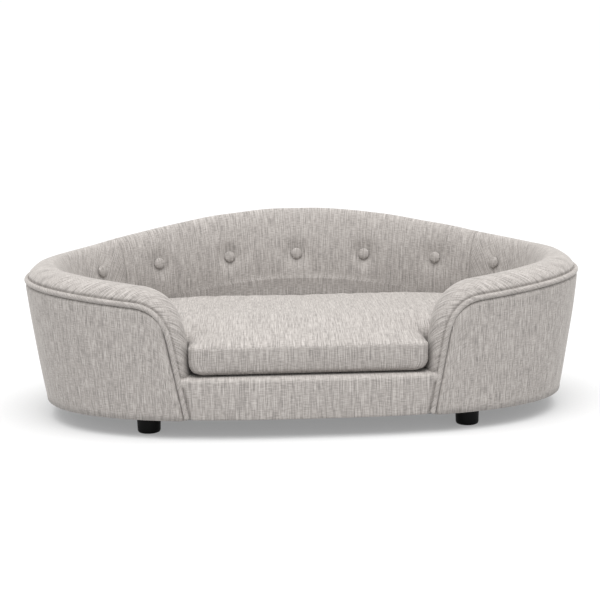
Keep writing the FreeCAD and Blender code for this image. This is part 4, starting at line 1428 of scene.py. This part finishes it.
    def inflate(self, piece: Piece, held: np.ndarray, top_count: int) -> None:
        """Swell the cover with air pressure, hold its seams, and cap how far it moves."""
        rest = np.array([vertex.co[:] for vertex in piece.data.vertices])
        group = piece.vertex_groups.new(name="seams")
        group.add([int(number) for number in held], 1.0, "REPLACE")
        cloth = piece.modifiers.new("swell", "CLOTH")
        settings = {"quality": 4, "mass": 0.3, "tension_stiffness": 12, "compression_stiffness": 12,
                    "bending_stiffness": 0.6, "use_pressure": True, "uniform_pressure_force": self.pressure,
                    "vertex_group_mass": group.name}
        for key, value in settings.items():
            setattr(cloth.settings, key, value)
        cloth.settings.effector_weights.gravity = 0
        cloth.point_cache.frame_start = 1
        cloth.point_cache.frame_end = self.frames
        scene = bpy.context.scene
        for frame_number in range(1, self.frames + 1):
            scene.frame_set(frame_number)
        evaluated = piece.evaluated_get(bpy.context.evaluated_depsgraph_get())
        moved = np.array([vertex.co[:] for vertex in evaluated.data.vertices])
        shift = moved - rest
        reach = np.linalg.norm(shift, axis=1)
        cap = np.full(len(rest), self.band_cap * MM)
        cap[:top_count] = self.top_cap * MM
        soft = cap * np.tanh(reach / cap)
        shift *= (soft / np.maximum(reach, 1e-9))[:, None]
        piece.modifiers.remove(cloth)
        piece.vertex_groups.remove(group)
        scene.frame_set(1)
        piece.data.vertices.foreach_set("co", (rest + shift).astype(np.float32).ravel())
        piece.data.update()

    def finish_shape(self, piece: Piece) -> None:
        """Round the tongue's lower front corners and add the foam's soft unevenness."""
        mesh = piece.data
        points = np.array([from_frame(vertex.co) for vertex in mesh.vertices])
        radius = self.corner_radius
        low = np.clip(radius - (points[:, 2] - self.bottom), 0, radius)
        cut = radius - np.sqrt(radius ** 2 - low ** 2)
        forward = smooth_step((-points[:, 1] - self.front + 10) / 40)
        side = smooth_step((np.abs(points[:, 0]) - self.tongue + 3 * radius) / (3 * radius))
        points[:, 0] -= np.sign(points[:, 0]) * cut * forward * side
        top = points[:, 2] > self.top_seam + 2
        points[top, 2] += wander(points[top], 95, 31.0) * 1.3
        mesh.vertices.foreach_set("co", placed(points).astype(np.float32).ravel())
        mesh.update()


# ---- zip ----

def squared_ring(power: float, count: int = 28) -> list[tuple[float, float, float]]:
    """Points round a circle, each with the factor that pushes it out towards a square."""
    ring = []
    for number in range(count):
        turn = 2 * math.pi * number / count
        x, z = math.cos(turn), math.sin(turn)
        ring.append((x, z, 1 / max(abs(x), abs(z)) ** power))
    return ring


def at_most_one(value: float) -> float:
    """The value, kept between -1 and 1."""
    return max(-1.0, min(value, 1.0))


@dataclass
class Zip:
    """Coil zip on the back of the cushion, with its slider and pull."""

    tape: Material
    nylon: Material
    metal: Material
    radius: float = 1286.0
    half_angle: float = 7.0
    coil_pitch: float = 2.4
    coil_depth: float = 1.2
    tape_out: float = 0.35
    tape_bulge: float = 0.25
    tape_thickness: float = 0.5

    def build(self) -> dict[str, list[Piece]]:
        """Make the tape and coil, the slider and the pull, each at its CAD node's own place."""
        return {"cushion": [self.make_tape(), self.make_coil()], "slider": [self.make_slider()],
                "pull": [self.make_pull()]}

    def arc(self, angle: float, out: float, level: float) -> np.ndarray:
        """Point on the zip's long curve."""
        _, high = node_box("cushion_zip")
        centre = high[1] - self.radius - self.coil_depth
        reach = self.radius + out
        return np.array([reach * math.sin(angle), centre + reach * math.cos(angle), level])

    def make_tape(self) -> Piece:
        """Two woven tapes side by side, with a gap under the coil and turned outer edges."""
        low, high = node_box("cushion_zip")
        angles = np.radians(np.linspace(-self.half_angle, self.half_angle, 120))
        heights = np.linspace(low[2], high[2], 17)
        middle = (low[2] + high[2]) / 2
        grid = np.array([[self.arc(angle, self.tape_out + self.tape_bulge * bell(level - middle, 3), level)
                          for level in heights] for angle in angles])
        run = run_length(grid[:, 0])
        cloth = np.stack(np.meshgrid(run, heights, indexing="ij"), axis=-1)
        rear = np.array([0.0, 1.0, 0.0])
        return make_sheet("zip_tape_woven", grid, cloth, self.tape, rear, self.tape_thickness)

    def make_coil(self) -> Piece:
        """Row of interlocked nylon teeth along the middle of the tape."""
        low, high = node_box("cushion_zip")
        middle = (low[2] + high[2]) / 2
        # Level, depth and width of a tooth, going round its outline.
        profile = ((-2.6, 0.65, 0.7), (-2.2, 1.25, 0.9), (0.6, 1.3, 0.95), (1.6, 1.1, 0.8), (1.9, 0.7, 0.6),
                   (1.9, 0.52, 0.6), (-2.6, 0.52, 0.7))
        rows = len(profile)
        points, faces = [], []
        length = 2 * self.radius * math.radians(self.half_angle) - 8
        count = int(length / self.coil_pitch)
        for tooth in range(count):
            angle = (tooth - (count - 1) / 2) * self.coil_pitch / self.radius
            side = 1 if tooth % 2 else -1
            start = len(points)
            for level, out, width in profile:
                for shift in (-width / 2, width / 2):
                    points.append(self.arc(angle + shift / self.radius, out, middle + side * level))
            for row in range(rows):
                near, far = start + 2 * row, start + 2 * ((row + 1) % rows)
                faces.append((near, near + 1, far + 1, far))
            faces.append(tuple(start + 2 * row for row in range(rows)))
            faces.append(tuple(start + 2 * row + 1 for row in reversed(range(rows))))
        return make_piece("zip_coil_teeth", np.array(points), faces, self.nylon)

    def plate(self, name: str, node: str, outline: list[tuple[float, float]], hole: float) -> Piece:
        """Small cast plate in a CAD box: an outline in shares of its face, with rounded edges."""
        low, high = node_box(node)
        centre, half = (low + high) / 2, (high - low) / 2
        points = []
        for depth, size in ((-1.0, 0.9), (-0.7, 1.0), (0.7, 1.0), (1.0, 0.9)):
            for x, z in outline:
                points.append(centre + half * np.array([x * size, depth, z * size]))
        count = len(outline)
        for depth in (-1.0, 1.0):
            for x, z in outline:
                turn = math.atan2(z, x)
                points.append(centre + half * np.array([hole * math.cos(turn), depth, hole * math.sin(turn)]))
        faces = []
        for lower, upper in ((0, 1), (1, 2), (2, 3), (0, 4), (3, 5), (4, 5)):
            faces += between_rings(lower, upper, count)
        piece = make_piece(name, np.array(points), faces, self.metal)
        piece.modifiers.new("edges", "SUBSURF").levels = 1
        piece.modifiers["edges"].render_levels = 1
        return piece

    def make_slider(self) -> Piece:
        """Slider body: a waisted shield, wider at the top."""
        outline = []
        for x, z, grow in squared_ring(0.8):
            waist = 0.82 + 0.18 * (0.5 + 0.5 * z) - 0.1 * math.cos(math.pi * z) * 0.5
            outline.append((at_most_one(x * grow * waist), at_most_one(z * grow)))
        return self.plate("zip_slider_cast", "zip_slider", outline, 0.22)

    def make_pull(self) -> Piece:
        """Pull tab: a rounded strip with a long hole."""
        outline = []
        for x, z, grow in squared_ring(0.75):
            taper = 0.85 - 0.15 * z
            outline.append((at_most_one(x * grow * taper), at_most_one(z * grow)))
        return self.plate("zip_pull_cast", "zip_pull", outline, 0.42)


# ---- the frame's own pieces ----

@dataclass
class FrameFinishes:
    """Finishes for the CAD pieces that stay: timber, boards, fasteners, feet and linings."""

    nodes: dict[str, Piece]
    made: dict[str, Material] = field(default_factory=dict)

    def finish_for(self, node: str) -> object:
        """Choose the finish of a node by what kind of part it is."""
        if node in ("foot_bolts", "tee_nuts", "frame_screws", "dust_cover_staples"):
            return ZincSteel()
        if node.startswith("foot_"):
            return MouldedPlastic()
        if node in ("base_board", "seat_deck"):
            return PoplarPlywood()
        if node in ("outer_panel", "inner_panel"):
            return PressedHardboard()
        if node in ("dust_cover", "deck_cover"):
            return SpunbondCloth()
        if node == "button_ties":
            return TwistedCord()
        upright = node.startswith(("rib_", "wing_post"))
        return PlanedPine(Grain.UPRIGHT if upright else Grain.ACROSS)

    def dress(self, kept: list[str]) -> None:
        """Put each kept node's finish in its own material slots."""
        for node in kept:
            finish = self.finish_for(node)
            key = repr(finish)
            if key not in self.made:
                self.made[key] = finish.build()
            piece = self.nodes[node]
            if not piece.material_slots:
                piece.data.materials.append(self.made[key])
            for slot in piece.material_slots:
                slot.material = self.made[key]


# ---- studio ----

@dataclass(frozen=True)
class Studio:
    """Pale floor, soft light from all round and above, and the camera."""

    eye: tuple[float, float, float] = (-0.0890, -2.5096, 0.5505)
    aim: tuple[float, float, float] = (0.03401, 0.98873, -0.14583)
    roll: float = -0.0187
    lens: float = 84.0
    floor_size: float = 60.0
    world_strength: float = 1.02
    sun_towards: tuple[float, float, float] = (0.02, -0.28, 1.0)
    sun_spread: float = 1.1
    sun_strength: float = 3.1

    def build(self) -> None:
        """Set up the floor, the lights and the camera."""
        scene = bpy.context.scene
        scene.view_settings.view_transform = "Standard"
        self.make_floor()
        world = bpy.data.worlds.new("studio_light")
        world.use_nodes = True
        background = world.node_tree.nodes["Background"]
        background.inputs["Color"].default_value = linear("#ffffff")
        background.inputs["Strength"].default_value = self.world_strength
        scene.world = world
        self.hang_sun("overhead")
        camera = bpy.data.cameras.new("camera")
        camera.lens = self.lens
        camera.sensor_width = 36.0
        seen = bpy.data.objects.new("camera", camera)
        seen.location = self.eye
        seen.rotation_mode = "QUATERNION"
        straight = Vector(self.aim).to_track_quat("-Z", "Y")
        seen.rotation_quaternion = straight @ Quaternion((0, 0, 1), self.roll)
        scene.collection.objects.link(seen)
        scene.camera = seen

    def make_floor(self) -> None:
        """Lay a large flat floor."""
        half = self.floor_size / 2 / MM
        corners = np.array([(-half, -half, 0), (half, -half, 0), (half, half, 0), (-half, half, 0)], float)
        floor = make_piece("floor", corners, [(0, 1, 2, 3)], StudioFloor().build())

    def hang_sun(self, name: str) -> None:
        """Hang one very wide soft light that is as strong everywhere; its spread is in radians."""
        lamp = bpy.data.lights.new(name, "SUN")
        lamp.energy = self.sun_strength
        lamp.angle = self.sun_spread
        hung = bpy.data.objects.new(name, lamp)
        hung.rotation_mode = "QUATERNION"
        hung.rotation_quaternion = Vector(self.sun_towards).to_track_quat("Z", "Y")
        bpy.context.scene.collection.objects.link(hung)


# ---- putting it together ----

@dataclass
class PetSofa:
    """The whole bed: builds each sub-assembly and ties it to its body."""

    nodes: dict[str, Piece]
    replaced: set[str] = field(default_factory=set)

    def attach(self, piece: Piece, body: str, slot: str, *nodes: str) -> None:
        """Let a piece ride on a body and stand for CAD nodes, which are hidden."""
        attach(piece, body)
        if nodes:
            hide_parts(*nodes)
        self.replaced.update(nodes)
        LOG.info("%s rides on %s, for %s", piece.name, body, ", ".join(nodes) or "nothing")

    def button_spots(self, wall: WallShape) -> list[ButtonSpot]:
        """Places of the seven buttons, from their CAD nodes."""
        names = sorted(node for node in self.nodes if node.startswith("button_") and node != "button_ties")
        spots = []
        for name in names:
            low, high = node_box(name)
            centre = (low + high) / 2
            outside = wall.outside(math.atan2(centre[0], centre[1]), centre[2])
            face = unit(wall.inward(outside) + np.array([0.0, 0.0, 0.22]))
            spots.append(ButtonSpot(name, centre, face, name in (names[0], names[-1])))
        return spots

    def build(self) -> None:
        """Build and attach everything in order."""
        wall = WallShape()
        linen = SlubWeave().build()
        fabric = "upholstery_fabric"
        spots = self.button_spots(wall)
        outside = OutsideCover(wall, linen).build()
        self.attach(outside, "bed", fabric, "outside_cover", "outside_wadding")
        back, left, right = InsideCover(wall, linen, spots).build()
        self.attach(back, "bed", fabric, "inside_back_cover", "back_pad", "roll_pad_back")
        self.attach(left, "bed", fabric, "inside_arm_cover_left", "arm_pad_left", "roll_pad_left")
        self.attach(right, "bed", fabric, "inside_arm_cover_right", "arm_pad_right", "roll_pad_right")
        self.attach(Welt(wall, linen).build(), "bed", fabric, "welt_sleeve", "welt_cord")
        apron = Apron(wall, linen).build()
        self.attach(apron, "bed", fabric, "front_rail_cover", "front_rail_pad")
        for spot, button in zip(spots, Buttons(linen, spots).build()):
            self.attach(button, "bed", fabric, spot.name)
        cushion = Cushion(linen).build()
        self.attach(cushion, "cushion", fabric, "cushion_cover", "cushion_foam")
        parts = Zip(HerringboneTape().build(), DrawnNylon().build(), CastZinc().build()).build()
        tape, coil = parts["cushion"]
        self.attach(tape, "cushion", "zip_tape", "cushion_zip")
        self.attach(coil, "cushion", "zip_tape")
        self.attach(parts["slider"][0], "slider", "zip_metal", "zip_slider")
        self.attach(parts["pull"][0], "pull", "zip_metal", "zip_pull")
        kept = sorted(set(self.nodes) - self.replaced)
        FrameFinishes(self.nodes).dress(kept)
        LOG.info("%d CAD nodes keep their shape", len(kept))


def main() -> None:
    """Load the frame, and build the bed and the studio."""
    logging.basicConfig(level=logging.INFO, format="%(name)s: %(message)s")
    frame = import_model()
    PetSofa(frame["nodes"]).build()
    Studio().build()
    bpy.context.view_layer.update()


if __name__ == "__main__":
    main()
